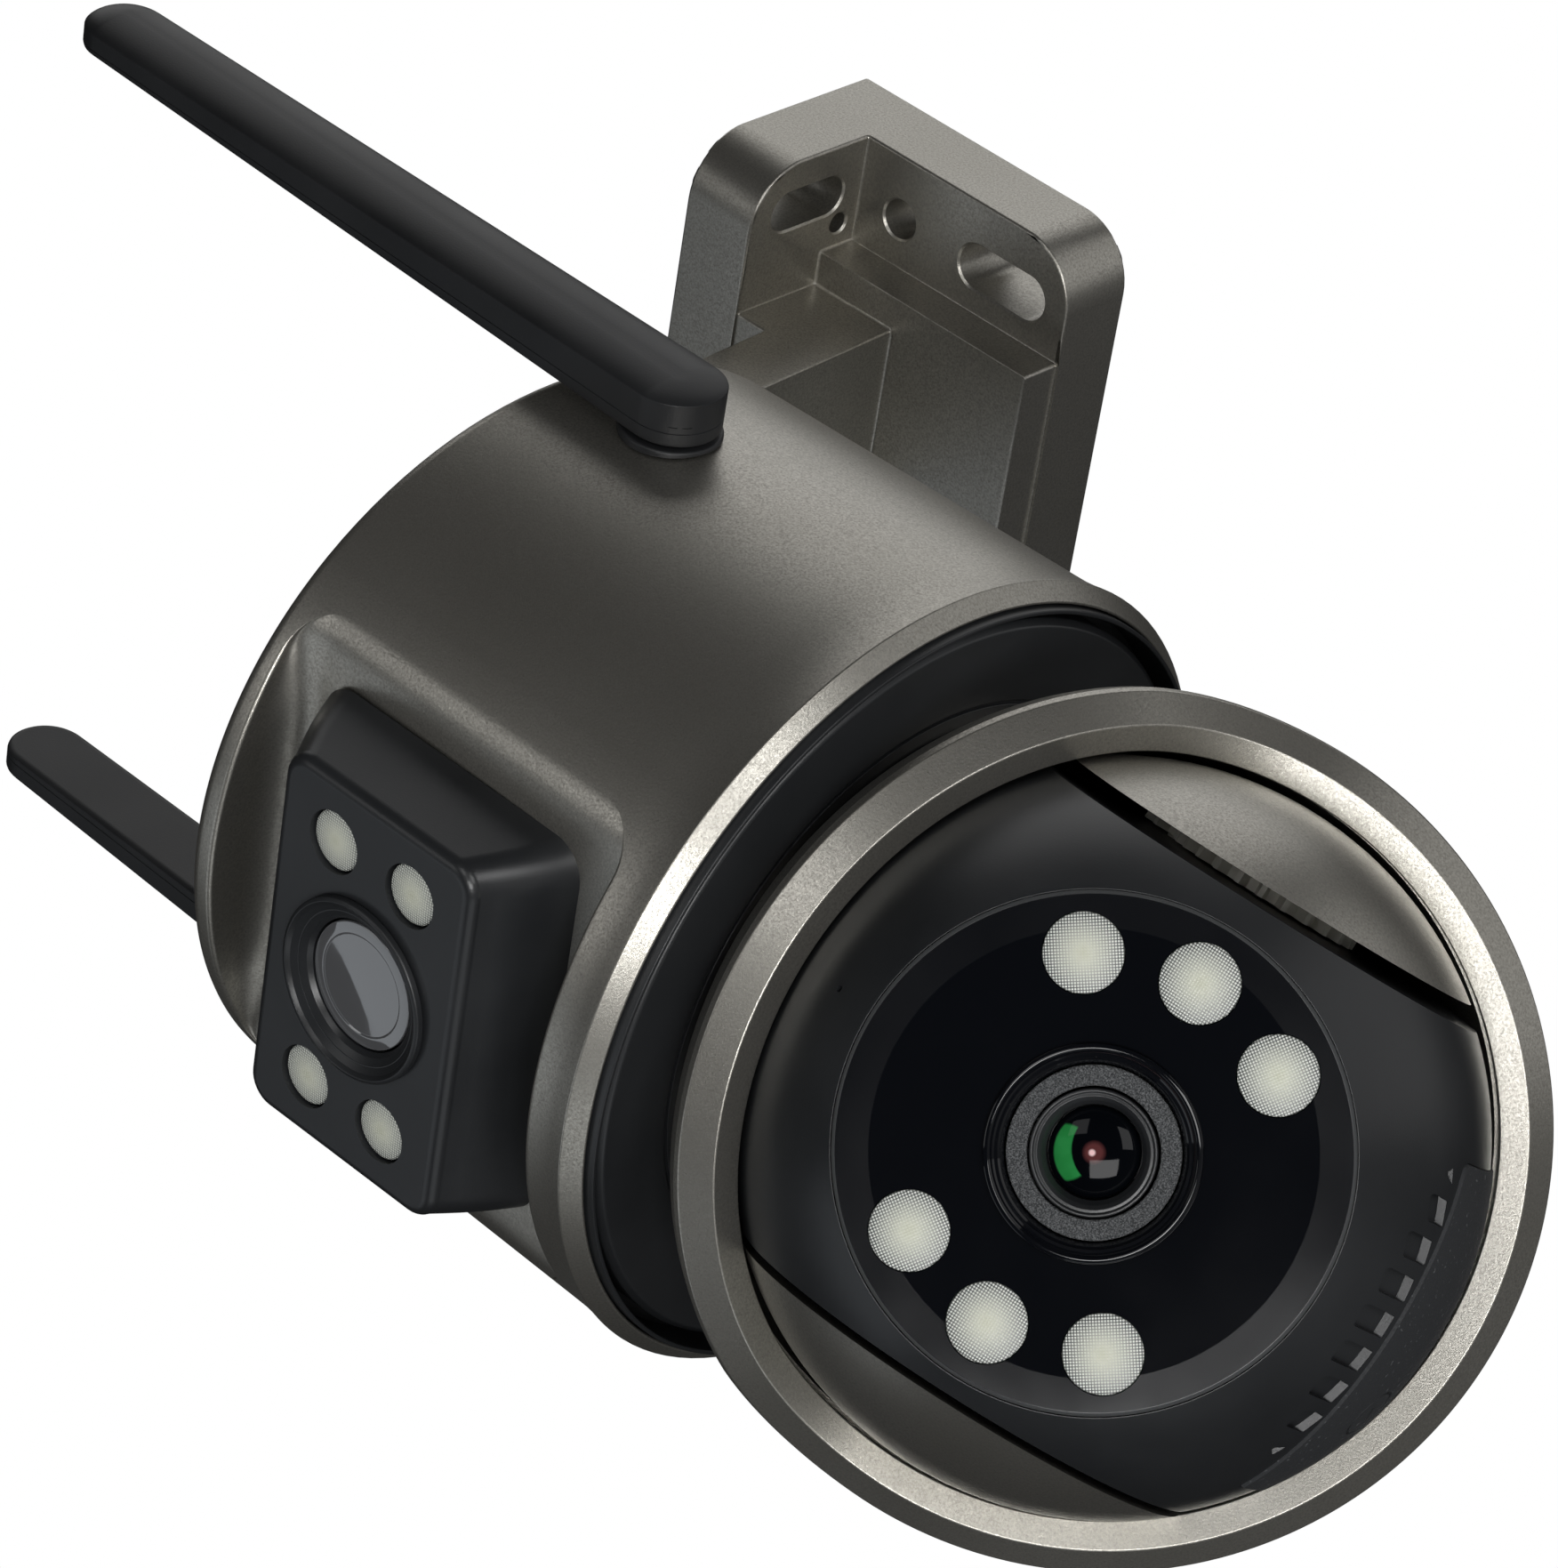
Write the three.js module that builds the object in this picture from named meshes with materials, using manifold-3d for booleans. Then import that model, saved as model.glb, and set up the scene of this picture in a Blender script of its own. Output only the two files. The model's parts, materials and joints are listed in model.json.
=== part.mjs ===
// Two-lens security camera on a corner bracket, in millimetres, +Z up.
// The origin is the centre of the bracket's wall face. The camera looks towards -Y.
import * as THREE from 'three';
import { mergeVertices } from 'three/addons/utils/BufferGeometryUtils.js';
import Module from 'manifold-3d';

const wasm = await Module();
wasm.setup();

// ---------------------------------------------------------------- driving dimensions

const GAP = 0.3;                 // clearance between neighbouring pieces
const ROUND = 40;                // steps round a large circle
const MIDDLE_ROUND = 22;         // steps round a lens or a motor
const SMALL_ROUND = 12;          // steps round a shaft or a screw
const BALL_ROUND = 32;           // steps round a sphere that shows
const HOLLOW_ROUND = 20;         // steps round a hidden hollow

// Bracket
const PLATE_HALF = 36;           // half the width of both plates
const PLATE_THICK = 12.5;
const PLATE_HEIGHT = 53.2;       // wall plate, top to bottom
const PLATE_REACH = 35;          // ceiling plate, wall to front edge
const PLATE_CORNER = 9.5;
const BLOCK_HALF = 18.9;         // thick middle of the wall plate
const BLOCK_PROUD = 6.6;
const ARM_HALF = 13.6;
const NECK_HALF = 13;
const NECK_BACK = 52;            // in the body's frame
const NECK_FRONT = 24;
const NECK_TOP = 109;

// Body
const BODY_AXIS = [0, -118.1, -101];   // foot of the body's axis, from the origin
const BODY_RADIUS = 55.95;             // at the foot, before the rim
const BODY_TAPER = 0.02;
const BODY_TOP = 70.2;                 // on the axis
const TOP_SLOPE = 0.0645;              // the top falls towards the wall
const WALL = 2.6;
const RIM_RADIUS = 56.4;
const RIM_MOUTH = 54.1;
const RECESS_FLOOR = -43.8;
const RECESS_LOW = 9.5;
const RECESS_HIGH = 69.5;
const GLAND_Z = 30;
const SCREWS = [[-8, 31], [8, 31], [0, 46]];   // neck screws, X and Y
const topAt = (y) => BODY_TOP - TOP_SLOPE * y;

// Fixed camera module
const MODULE_FACE = -57.4;
const MODULE_LED_X = 18.1;
const MODULE_LED_Z = [32.1, 45.9];
const MODULE_LENS_Z = 39;
const MODULE_LED_RADIUS = 4.05;

// Antennas
const HUB_Y = 0.3;
const HUB_Z = 52;
const PADDLE_MID = 58.75;
const PADDLE_LENGTH = 115.6;
const PADDLE_HALF_BASE = 6.5;
const PADDLE_HALF_TIP = 5.9;
const ANTENNA_LEAN = { right: -0.034, left: -0.013 };

// Turntable
const DRUM_RADIUS = 51.8;
const DRUM_LOW = 0.4;
const DRUM_BORE = 29.6;
const HUB_BORE = 9;
const HUB_RADIUS = 11.5;
const DECK_LOW = 15.5;
const DECK_HIGH = 18;
const PAN_TEETH = 60;
const PAN_PINION_TEETH = 12;
const PAN_SPACING = (PAN_TEETH + PAN_PINION_TEETH) / 2;

// Moving head
const PAN_AT_REST = 36.8;              // degrees
const BALL_FORWARD = 4.4;
const BALL_Z = -39.3;
const BALL_RADIUS = 46.5;
const BALL_WALL = 2.2;
const BALL_RIGHT = 34.7;               // flat sides of the ball
const BALL_LEFT = -33.5;
const LENS_DOWN = 26.85;               // degrees
const CAP_RIGHT = 37.2;
const CAP_LEFT = -34.6;
const CAP_RADIUS = 46.9;
const CAP_WALL = 2.2;
const CAP_BACK = 16;                   // the caps end behind the bezel
const BOSS_BORE = 6.4;                 // seat of the tilt bush in each cap
const BOSS_RADIUS = 8.2;
const BOSS_END = 4.6;
const TRUNNION = 4;
const TILT_TEETH = 24;
const TILT_PINION_TEETH = 10;
const TILT_SPACING = (TILT_TEETH + TILT_PINION_TEETH) / 2;
const PINION_PLACE = TILT_SPACING * Math.SQRT1_2;
const TILT_GEAR_LOW = BALL_RIGHT + 0.4;
const TILT_GEAR_HIGH = CAP_RIGHT - 0.4;
// Seen from +X the gear's own X axis points down and its Y axis points back.
const PINION_BEARING = THREE.MathUtils.degToRad(135);

// Front of the ball
const PLATE_DEPTH = 34.5;
const PLATE_RADIUS = 31;
const HEAD_LED_CIRCLE = 23.6;
const HEAD_LED_STEP = 34.85;           // degrees
const HEAD_LED_RADIUS = 4.85;

// Bezel round the ball
const BEZEL_DOWN = 34;                 // degrees
const BEZEL_BACK = 0.8;
const VISOR_START = 3.5;
const VISOR_RAMP = 20;
const VISOR_ANGLE = THREE.MathUtils.degToRad(30.4);
const REAR_INNER = 48.2;               // shell behind the bezel, round the ball
const REAR_OUTER = 50.6;
const REAR_COLLAR = 38;

// ---------------------------------------------------------------- solids and cuts

function toManifold(geometry) {
  const plain = new THREE.BufferGeometry();
  plain.setAttribute('position', geometry.getAttribute('position').clone());
  if (geometry.index) plain.setIndex(geometry.index.clone());
  const merged = mergeVertices(plain, 1e-4);
  const vertProperties = new Float32Array(merged.getAttribute('position').array);
  const triVerts = new Uint32Array(merged.index.array);
  if (signedVolume(vertProperties, triVerts) < 0) {
    for (let t = 0; t < triVerts.length; t += 3) {
      [triVerts[t + 1], triVerts[t + 2]] = [triVerts[t + 2], triVerts[t + 1]];
    }
  }
  return new wasm.Manifold(new wasm.Mesh({ numProp: 3, vertProperties, triVerts }));
}

function signedVolume(points, triangles) {
  const a = new THREE.Vector3();
  const b = new THREE.Vector3();
  const c = new THREE.Vector3();
  let volume = 0;
  for (let t = 0; t < triangles.length; t += 3) {
    a.fromArray(points, 3 * triangles[t]);
    b.fromArray(points, 3 * triangles[t + 1]);
    c.fromArray(points, 3 * triangles[t + 2]);
    volume += a.dot(b.cross(c)) / 6;
  }
  return volume;
}

function toGeometry(solid) {
  const mesh = solid.getMesh();
  const geometry = new THREE.BufferGeometry();
  geometry.setAttribute('position', new THREE.BufferAttribute(new Float32Array(mesh.vertProperties), 3));
  geometry.setIndex(new THREE.BufferAttribute(new Uint32Array(mesh.triVerts), 1));
  geometry.computeVertexNormals();
  return geometry;
}

function join(first, ...rest) {
  return rest.reduce((sum, solid) => sum.add(solid), first);
}

function cut(first, ...rest) {
  return rest.reduce((left, solid) => left.subtract(solid), first);
}

// A block between two corners.
function block(low, high) {
  const size = high.map((value, i) => value - low[i]);
  const geometry = new THREE.BoxGeometry(...size);
  geometry.translate(...high.map((value, i) => (value + low[i]) / 2));
  return toManifold(geometry);
}

// A solid of revolution about +Z; each profile point is [radius, height].
function turned(profile, steps = ROUND) {
  const points = profile.map(([radius, height]) => new THREE.Vector2(radius, height));
  const [first] = profile;
  const last = profile[profile.length - 1];
  const onAxis = first[0] === 0 && last[0] === 0;
  if (!onAxis) points.push(points[0].clone());
  const geometry = new THREE.LatheGeometry(points, steps);
  geometry.rotateX(Math.PI / 2);
  return toManifold(geometry);
}

function rod(radius, low, high, steps = SMALL_ROUND) {
  return turned([[0, low], [radius, low], [radius, high], [0, high]], steps);
}

function tube(inner, outer, low, high, steps = SMALL_ROUND) {
  return turned([[inner, low], [outer, low], [outer, high], [inner, high]], steps);
}

function ball(radius, steps = BALL_ROUND) {
  const geometry = new THREE.SphereGeometry(radius, steps, steps / 2);
  geometry.rotateX(Math.PI / 2);
  geometry.rotateY(Math.PI / 2);
  return toManifold(geometry);
}

// An outline drawn in X and Y, extruded from one height to another.
function slab(shape, low, high) {
  const geometry = new THREE.ExtrudeGeometry(shape, {
    depth: high - low, bevelEnabled: false, curveSegments: 6,
  });
  geometry.translate(0, 0, low);
  return toManifold(geometry);
}

// A solid through rings of matching points, capped flat at both ends.
function loft(rings) {
  const count = rings[0].length;
  const positions = rings.flat(2);
  const index = [];
  for (let ring = 0; ring + 1 < rings.length; ring += 1) {
    for (let i = 0; i < count; i += 1) {
      const a = ring * count + i;
      const b = ring * count + (i + 1) % count;
      index.push(a, b, b + count, a, b + count, a + count);
    }
  }
  const last = (rings.length - 1) * count;
  for (let i = 1; i + 1 < count; i += 1) {
    index.push(0, i + 1, i, last, last + i, last + i + 1);
  }
  const geometry = new THREE.BufferGeometry();
  geometry.setAttribute('position', new THREE.Float32BufferAttribute(positions, 3));
  geometry.setIndex(index);
  return toManifold(geometry);
}

const turnX = (solid, degrees) => solid.rotate([degrees, 0, 0]);
const turnY = (solid, degrees) => solid.rotate([0, degrees, 0]);
const turnZ = (solid, degrees) => solid.rotate([0, 0, degrees]);
const shift = (solid, x, y, z) => solid.translate([x, y, z]);

// +Z of the piece turned to point along -Y (forwards) or along +X.
const facingFront = (solid) => turnX(solid, 90);
const facingRight = (solid) => turnY(solid, 90);

function roundedRectangle(halfWidth, low, high, radius) {
  const shape = new THREE.Shape();
  shape.moveTo(halfWidth - radius, low);
  shape.absarc(halfWidth - radius, low + radius, radius, -Math.PI / 2, 0);
  shape.absarc(halfWidth - radius, high - radius, radius, 0, Math.PI / 2);
  shape.absarc(radius - halfWidth, high - radius, radius, Math.PI / 2, Math.PI);
  shape.absarc(radius - halfWidth, low + radius, radius, Math.PI, 1.5 * Math.PI);
  shape.closePath();
  return shape;
}

function slotShape(x, low, high, width) {
  const shape = new THREE.Shape();
  const radius = width / 2;
  shape.absarc(x, low + radius, radius, Math.PI, 2 * Math.PI);
  shape.absarc(x, high - radius, radius, 0, Math.PI);
  shape.closePath();
  return shape;
}

// A spur gear of module 1 with relieved involute flanks and a tooth centred on angle `phase`.
function gear(teeth, bore, low, high, phase) {
  const ADDENDUM = 0.8;
  const DEDENDUM = 1.2;
  const PRESSURE = THREE.MathUtils.degToRad(20);
  const BACKLASH = 0.2;
  const pitch = teeth / 2;
  const base = pitch * Math.cos(PRESSURE);
  const rootRadius = pitch - DEDENDUM;
  const involute = (angle) => Math.tan(angle) - angle;
  const halfAtPitch = Math.PI / (2 * teeth) - BACKLASH / (2 * pitch);
  const halfAt = (radius) => {
    const angle = Math.acos(Math.min(1, base / radius));
    return halfAtPitch + involute(PRESSURE) - involute(angle);
  };
  const start = Math.max(base, rootRadius + 0.1);
  const radii = [rootRadius, pitch + ADDENDUM];
  const shape = new THREE.Shape();
  for (let tooth = 0; tooth < teeth; tooth += 1) {
    const centre = phase + (tooth * 2 * Math.PI) / teeth;
    const rising = radii.map((radius) => [radius, centre - halfAt(Math.max(radius, start))]);
    const falling = radii.map((radius) => [radius, centre + halfAt(Math.max(radius, start))]).reverse();
    for (const [radius, angle] of [...rising, ...falling]) {
      const x = radius * Math.cos(angle);
      const y = radius * Math.sin(angle);
      if (shape.curves.length === 0 && shape.currentPoint.lengthSq() === 0) shape.moveTo(x, y);
      else shape.lineTo(x, y);
    }
  }
  shape.closePath();
  const blank = slab(shape, low, high);
  return bore > 0 ? cut(blank, rod(bore, low - 1, high + 1)) : blank;
}

// ---------------------------------------------------------------- materials and nodes

const FINISHES = {
  bronze: { color: 0x4d4a45, roughness: 0.42, metalness: 0.55 },
  black: { color: 0x17181a, roughness: 0.45, metalness: 0 },
  gloss: { color: 0x08090b, roughness: 0.08, metalness: 0 },
  rubber: { color: 0x242527, roughness: 0.8, metalness: 0 },
  foam: { color: 0x3b3d3f, roughness: 0.95, metalness: 0 },
  led: { color: 0xe6e8d2, roughness: 0.25, metalness: 0 },
  glass: { color: 0x2c352f, roughness: 0.05, metalness: 0 },
  steel: { color: 0x9a9da0, roughness: 0.35, metalness: 0.9 },
  brass: { color: 0xb08d4a, roughness: 0.4, metalness: 0.85 },
  nylon: { color: 0xe3e0d4, roughness: 0.5, metalness: 0 },
  board: { color: 0x1d4a2c, roughness: 0.55, metalness: 0 },
  alloy: { color: 0xa9acb0, roughness: 0.4, metalness: 0.8 },
};

function node(parent, name, finish, solid) {
  const material = new THREE.MeshStandardMaterial(FINISHES[finish]);
  const mesh = new THREE.Mesh(toGeometry(solid), material);
  mesh.name = name;
  parent.add(mesh);
}

// ---------------------------------------------------------------- bracket

// Drawn in the bracket's own frame: wall face at y = 0, mid height at z = 0.
function wallBracket() {
  const top = PLATE_HEIGHT / 2;
  const under = top - PLATE_THICK;

  const wallShape = new THREE.Shape();
  wallShape.moveTo(PLATE_HALF, top);
  wallShape.lineTo(-PLATE_HALF, top);
  wallShape.absarc(PLATE_CORNER - PLATE_HALF, PLATE_CORNER - top, PLATE_CORNER, Math.PI, 1.5 * Math.PI);
  wallShape.absarc(PLATE_HALF - PLATE_CORNER, PLATE_CORNER - top, PLATE_CORNER, 1.5 * Math.PI, 2 * Math.PI);
  wallShape.closePath();
  const wallPlate = facingFront(slab(wallShape, 0, PLATE_THICK));

  const ceilingShape = new THREE.Shape();
  ceilingShape.moveTo(PLATE_HALF, 0);
  ceilingShape.lineTo(-PLATE_HALF, 0);
  ceilingShape.absarc(PLATE_CORNER - PLATE_HALF, PLATE_CORNER - PLATE_REACH, PLATE_CORNER,
    Math.PI, 1.5 * Math.PI);
  ceilingShape.absarc(PLATE_HALF - PLATE_CORNER, PLATE_CORNER - PLATE_REACH, PLATE_CORNER,
    1.5 * Math.PI, 2 * Math.PI);
  ceilingShape.closePath();
  const ceilingPlate = slab(ceilingShape, under, top);

  const blockFront = -PLATE_THICK - BLOCK_PROUD;
  const middle = block([-BLOCK_HALF, blockFront, -top], [BLOCK_HALF, -PLATE_THICK, under]);

  const holes = [];
  for (const side of [-1, 1]) {
    const wallHole = facingFront(rod(3, -1, PLATE_THICK + 1));
    const wallSlot = slotShape(side * 26, -22.4, -5.9, 7);
    const ceilingSlot = slotShape(side * 28, -30.6, -16.1, 6.3);
    holes.push(shift(wallHole, side * 26.2, 0, 6));
    holes.push(facingFront(slab(wallSlot, -1, PLATE_THICK + 1)));
    holes.push(slab(ceilingSlot, under - 1, top + 1));
    holes.push(shift(rod(1.6, under - 1, top + 1), side * 22.7, -16.1, 0));
  }
  return cut(join(wallPlate, ceilingPlate, middle, arm(), neck()), ...holes);
}

// The arm and the neck are drawn in the body's frame and moved to the bracket's.
function toBracket(solid) {
  return shift(solid, ...BODY_AXIS);
}

// A side outline in Y and Z, extruded across X.
function sideways(points, half) {
  const shape = new THREE.Shape(points.map(([y, z]) => new THREE.Vector2(y, z)));
  const solid = slab(shape, -half, half);
  return turnZ(turnX(solid, 90), 90);
}

function arc(centreY, centreZ, radius, from, to, steps = 6) {
  const points = [];
  for (let i = 0; i <= steps; i += 1) {
    const angle = THREE.MathUtils.degToRad(from + ((to - from) * i) / steps);
    points.push([centreY + radius * Math.cos(angle), centreZ + radius * Math.sin(angle)]);
  }
  return points;
}

function arm() {
  const wallEnd = 105.7;
  const underPlate = 115.2;
  const plateFront = 83;
  const bend = 14;
  return toBracket(sideways([
    [wallEnd, 100], [wallEnd, underPlate], [plateFront, underPlate], [plateFront, 109.8],
    ...arc(NECK_FRONT + bend, NECK_TOP - 2 - bend, bend, 90, 180),
    [NECK_FRONT, 92], [NECK_BACK, 92],
    ...arc(NECK_BACK + 6, 91.5, 6, 180, 90, 4),
  ], ARM_HALF));
}

function neck() {
  const outline = roundedRectangle(NECK_HALF, NECK_FRONT, NECK_BACK, 5);
  const column = slab(outline, 60, 94);
  const screwHoles = SCREWS.map(([x, y]) => shift(rod(1.7, 60, 82), x, y, 0));
  return toBracket(cut(above(column, 1.6), ...screwHoles));
}

// Keeps what lies above (or below) a plane parallel to the body's top.
function above(solid, offset) {
  return solid.subtract(topBlock(offset, -1));
}

function below(solid, offset) {
  return solid.subtract(topBlock(offset, 1));
}

function topBlock(offset, direction) {
  const reach = 140;
  const piece = direction > 0
    ? block([-reach, -reach, 0], [reach, reach, reach])
    : block([-reach, -reach, -reach], [reach, reach, 0]);
  const tilt = THREE.MathUtils.radToDeg(-Math.atan(TOP_SLOPE));
  return shift(turnX(piece, tilt), 0, 0, BODY_TOP + offset);
}

function neckScrew([x, y]) {
  const underTop = topAt(y) - 3;
  const head = rod(2.9, underTop - 2.6, underTop - 0.5);
  const shank = rod(1.45, underTop - 0.6, topAt(y) + 9);
  const socket = rod(1.2, underTop - 3, underTop - 1.4, 6);
  return shift(cut(join(head, shank), socket), x, y, 0);
}

function neckGasket() {
  const outline = roundedRectangle(NECK_HALF - 0.8, NECK_FRONT + 0.8, NECK_BACK - 0.8, 4.5);
  const sheet = below(above(slab(outline, 60, 80), 0.3), 1.3);
  return cut(sheet, ...SCREWS.map(([x, y]) => shift(rod(1.9, 60, 80), x, y, 0)));
}

// ---------------------------------------------------------------- body

const bodyRadiusAt = (z) => BODY_RADIUS - BODY_TAPER * z;

function bodyOutside(grow = 0) {
  return turned([
    [0, 0], [RIM_MOUTH + grow, 0], [RIM_RADIUS + grow, 2.8], [56.2 + grow, 4.5],
    [bodyRadiusAt(8) + grow, 8], [bodyRadiusAt(80) + grow, 80], [0, 80],
  ]);
}

// The camera module's recess: a rounded rectangle whose floor meets its walls in a scoop.
function recessTool() {
  const SCOOP = 5;
  const HALF = 38;
  const shape = roundedRectangle(HALF - SCOOP, RECESS_LOW + SCOOP, RECESS_HIGH - SCOOP, 4);
  const geometry = new THREE.ExtrudeGeometry(shape, {
    depth: 20, bevelEnabled: true, bevelThickness: SCOOP, bevelSize: SCOOP, bevelSegments: 4,
    curveSegments: 5,
  });
  geometry.translate(0, 0, SCOOP);
  return shift(facingFront(toManifold(geometry)), 0, RECESS_FLOOR, 0);
}

function bodyShell() {
  const outside = below(bodyOutside(), 0);
  const inside = below(turned([
    [0, -1], [RIM_MOUTH, -1], [RIM_MOUTH, 6.4], [bodyRadiusAt(6.4) - WALL - 0.6, 6.4],
    [bodyRadiusAt(80) - WALL, 80], [0, 80],
  ]), -3);
  const behindRecess = block([-60, -60, RECESS_LOW - 2.4], [60, RECESS_FLOOR + WALL, RECESS_HIGH + 2]);
  const window = block([-21, -50, 26], [21, -40, 52]);
  const antennaHoles = [-1, 1].map((side) => {
    const hole = side > 0 ? rod(4.3, 40, 70) : rod(4.3, -70, -40);
    return shift(facingRight(hole), 0, HUB_Y, HUB_Z);
  });
  const glandHole = shift(facingFront(rod(5.3, -70, -40)), 0, 0, GLAND_Z);
  const screwHoles = SCREWS.map(([x, y]) => shift(rod(1.8, 60, 80), x, y, 0));
  const hollow = cut(inside, behindRecess);
  return cut(outside, recessTool(), hollow, window, ...antennaHoles, glandHole, ...screwHoles);
}

// Black base that closes the body: a trim ring, a wall and the deck that carries the pan drive.
function baseCover() {
  const wallRadius = 52.2;
  const solid = turned([
    [53.3, -0.7], [53.9, -0.7], [53.9, 5.9], [wallRadius, 5.9], [wallRadius, DECK_HIGH],
    [13.4, DECK_HIGH], [13.4, DECK_LOW], [50, DECK_LOW], [50, 5.4], [53.3, 5.4],
  ]);
  const frontFlat = block([-60, -60, 5.95], [60, RECESS_FLOOR + WALL + GAP, 30]);
  const pinionHole = shift(rod(4, 10, 30), -PAN_SPACING, 0, 0);
  return cut(solid, frontFlat, pinionHole);
}

// A rubber grommet for the lead, with its flange shaped to the round wall.
function cableGland() {
  const flange = shift(facingFront(rod(7.5, -58, -50, MIDDLE_ROUND)), 0, 0, GLAND_Z);
  const seated = cut(flange, bodyOutside(0.15));
  const sleeve = shift(facingFront(rod(5, -56.5, -47, MIDDLE_ROUND)), 0, 0, GLAND_Z);
  const bore = shift(facingFront(rod(2.6, -60, -40)), 0, 0, GLAND_Z);
  return cut(join(seated, sleeve), bore);
}

function panMotor() {
  const can = rod(12, DECK_HIGH + GAP, DECK_HIGH + 19, MIDDLE_ROUND);
  const ears = block([-3.5, -17, DECK_HIGH + GAP], [3.5, 17, DECK_HIGH + 1.1]);
  const shaftHole = rod(3, DECK_HIGH - 1, DECK_HIGH + 9);
  return shift(cut(join(can, ears), shaftHole), -PAN_SPACING, 0, 0);
}

function panPinion() {
  const teeth = gear(PAN_PINION_TEETH, 0, 11, 14.8, Math.PI / PAN_PINION_TEETH);
  const shaft = rod(2.4, 14.7, DECK_HIGH + 8);
  return shift(join(teeth, shaft), -PAN_SPACING, 0, 0);
}

function panBush() {
  return join(tube(HUB_RADIUS + GAP, 13.1, DECK_LOW - 0.5, DECK_HIGH + 0.5, MIDDLE_ROUND),
    tube(HUB_RADIUS + GAP, 15, DECK_HIGH + GAP, DECK_HIGH + 1.3, MIDDLE_ROUND));
}

function mainBoard() {
  const sheet = block([-36, 26, 24], [36, 27.6, 62]);
  const chips = [[-20, 50], [8, 46], [-4, 32]].map(([x, z]) => block([x, 24, z], [x + 12, 26.1, z + 9]));
  const socket = block([-34, 18, 26], [-22, 26.1, 34]);
  return join(sheet, ...chips, socket);
}

function heatSink() {
  const foot = block([-15, 28, 34], [15, 30, 58]);
  const fins = [];
  for (let i = 0; i < 6; i += 1) {
    const x = -15 + i * 5.6;
    fins.push(block([x, 29.9, 34], [x + 2, 38, 58]));
  }
  return join(foot, ...fins);
}

// ---------------------------------------------------------------- fixed camera module

// One level of the module's tapered box: a rounded rectangle at depth y.
function moduleRing(y, halfWidth, low, high, radius) {
  const outline = roundedRectangle(halfWidth, low, high, radius);
  return outline.extractPoints(4).shape.map((point) => [point.x, y, point.y]);
}

function moduleHousing() {
  const seat = RECESS_FLOOR - GAP;
  const outer = loft([
    moduleRing(seat, 28.3, 16.5, 63, 5),
    moduleRing(MODULE_FACE + 1, 27.1, 21.6, 56.1, 4.2),
    moduleRing(MODULE_FACE, 26.3, 22.4, 55.1, 3.6),
  ]);
  const inner = loft([
    moduleRing(seat + 1, 26.3, 18.6, 60.4, 4),
    moduleRing(MODULE_FACE + 2.2, 25, 23.8, 53.8, 3),
  ]);
  const lensHole = shift(facingFront(rod(10.6, 40, 70, MIDDLE_ROUND)), 0, 0, MODULE_LENS_Z);
  const ledHoles = moduleLedPlaces().map(([x, z]) => (
    shift(facingFront(rod(MODULE_LED_RADIUS + 0.25, 50, 70, MIDDLE_ROUND)), x, 0, z)));
  return cut(outer, inner, lensHole, ...ledHoles);
}

function moduleLedPlaces() {
  return [1, -1].flatMap((side) => MODULE_LED_Z.map((z) => [side * MODULE_LED_X, z]));
}

function moduleLensRing() {
  const face = -MODULE_FACE;
  const profile = [
    [8.9, face - 0.6], [11.6, face + 1.1], [12.1, face + 1.3], [12.4, face + 0.9],
    [12.4, face + GAP], [10.3, face + GAP], [10.3, face - 5], [8.9, face - 5],
  ];
  return shift(facingFront(turned(profile, MIDDLE_ROUND)), 0, 0, MODULE_LENS_Z);
}

function moduleLensGlass() {
  const disc = rod(8.6, -MODULE_FACE - 1.9, -MODULE_FACE - 0.7, MIDDLE_ROUND);
  return shift(facingFront(disc), 0, 0, MODULE_LENS_Z);
}

function moduleLensBarrel() {
  const back = 41.2;
  const solid = join(rod(6.5, back + 2, 54.9), rod(8.2, back, back + 6));
  return shift(facingFront(cut(solid, rod(5, 50, 60))), 0, 0, MODULE_LENS_Z);
}

function moduleSensorBoard() {
  return block([-19, -40.9, 28], [19, -39.5, 50]);
}

function moduleLedLens([x, z]) {
  const front = -MODULE_FACE - 0.4;
  const solid = turned([
    [0, front - 3], [MODULE_LED_RADIUS, front - 3], [MODULE_LED_RADIUS, front - 0.4],
    [MODULE_LED_RADIUS * 0.6, front - 0.1], [0, front],
  ], MIDDLE_ROUND);
  return shift(facingFront(solid), x, 0, z);
}

// ---------------------------------------------------------------- antennas

// The places of the paddle's inner face, crease and crown at height z. It thins towards its tip.
function paddleDepths(z) {
  const along = z / PADDLE_LENGTH;
  return { inner: -2.5 + 0.5 * along, crease: 3.7 - 2.6 * along, crown: 4.8 - 1.6 * along };
}

// How much of the dome's height is reached at a distance from the edge, as a share.
function domeShare(half, inset) {
  const flatness = 0.9;
  const atEdge = Math.sqrt(1 - flatness);
  const here = Math.sqrt(1 - flatness * ((half - inset) / half) ** 2);
  return (here - atEdge) / (1 - atEdge);
}

// The paddle's outline, inset by `inset`, as a ring of points at the depths that `depthAt` gives.
function paddleRing(inset, depthAt) {
  const steps = 9;
  const ring = [];
  for (const [centre, half, from] of [
    [PADDLE_LENGTH - PADDLE_HALF_TIP, PADDLE_HALF_TIP, 0],
    [0, PADDLE_HALF_BASE, Math.PI],
  ]) {
    for (let i = 0; i <= steps; i += 1) {
      const angle = from + (Math.PI * i) / steps;
      const y = (half - inset) * Math.cos(angle);
      const z = centre + (half - inset) * Math.sin(angle);
      ring.push([depthAt(z, half), y, z]);
    }
  }
  return ring;
}

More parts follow.
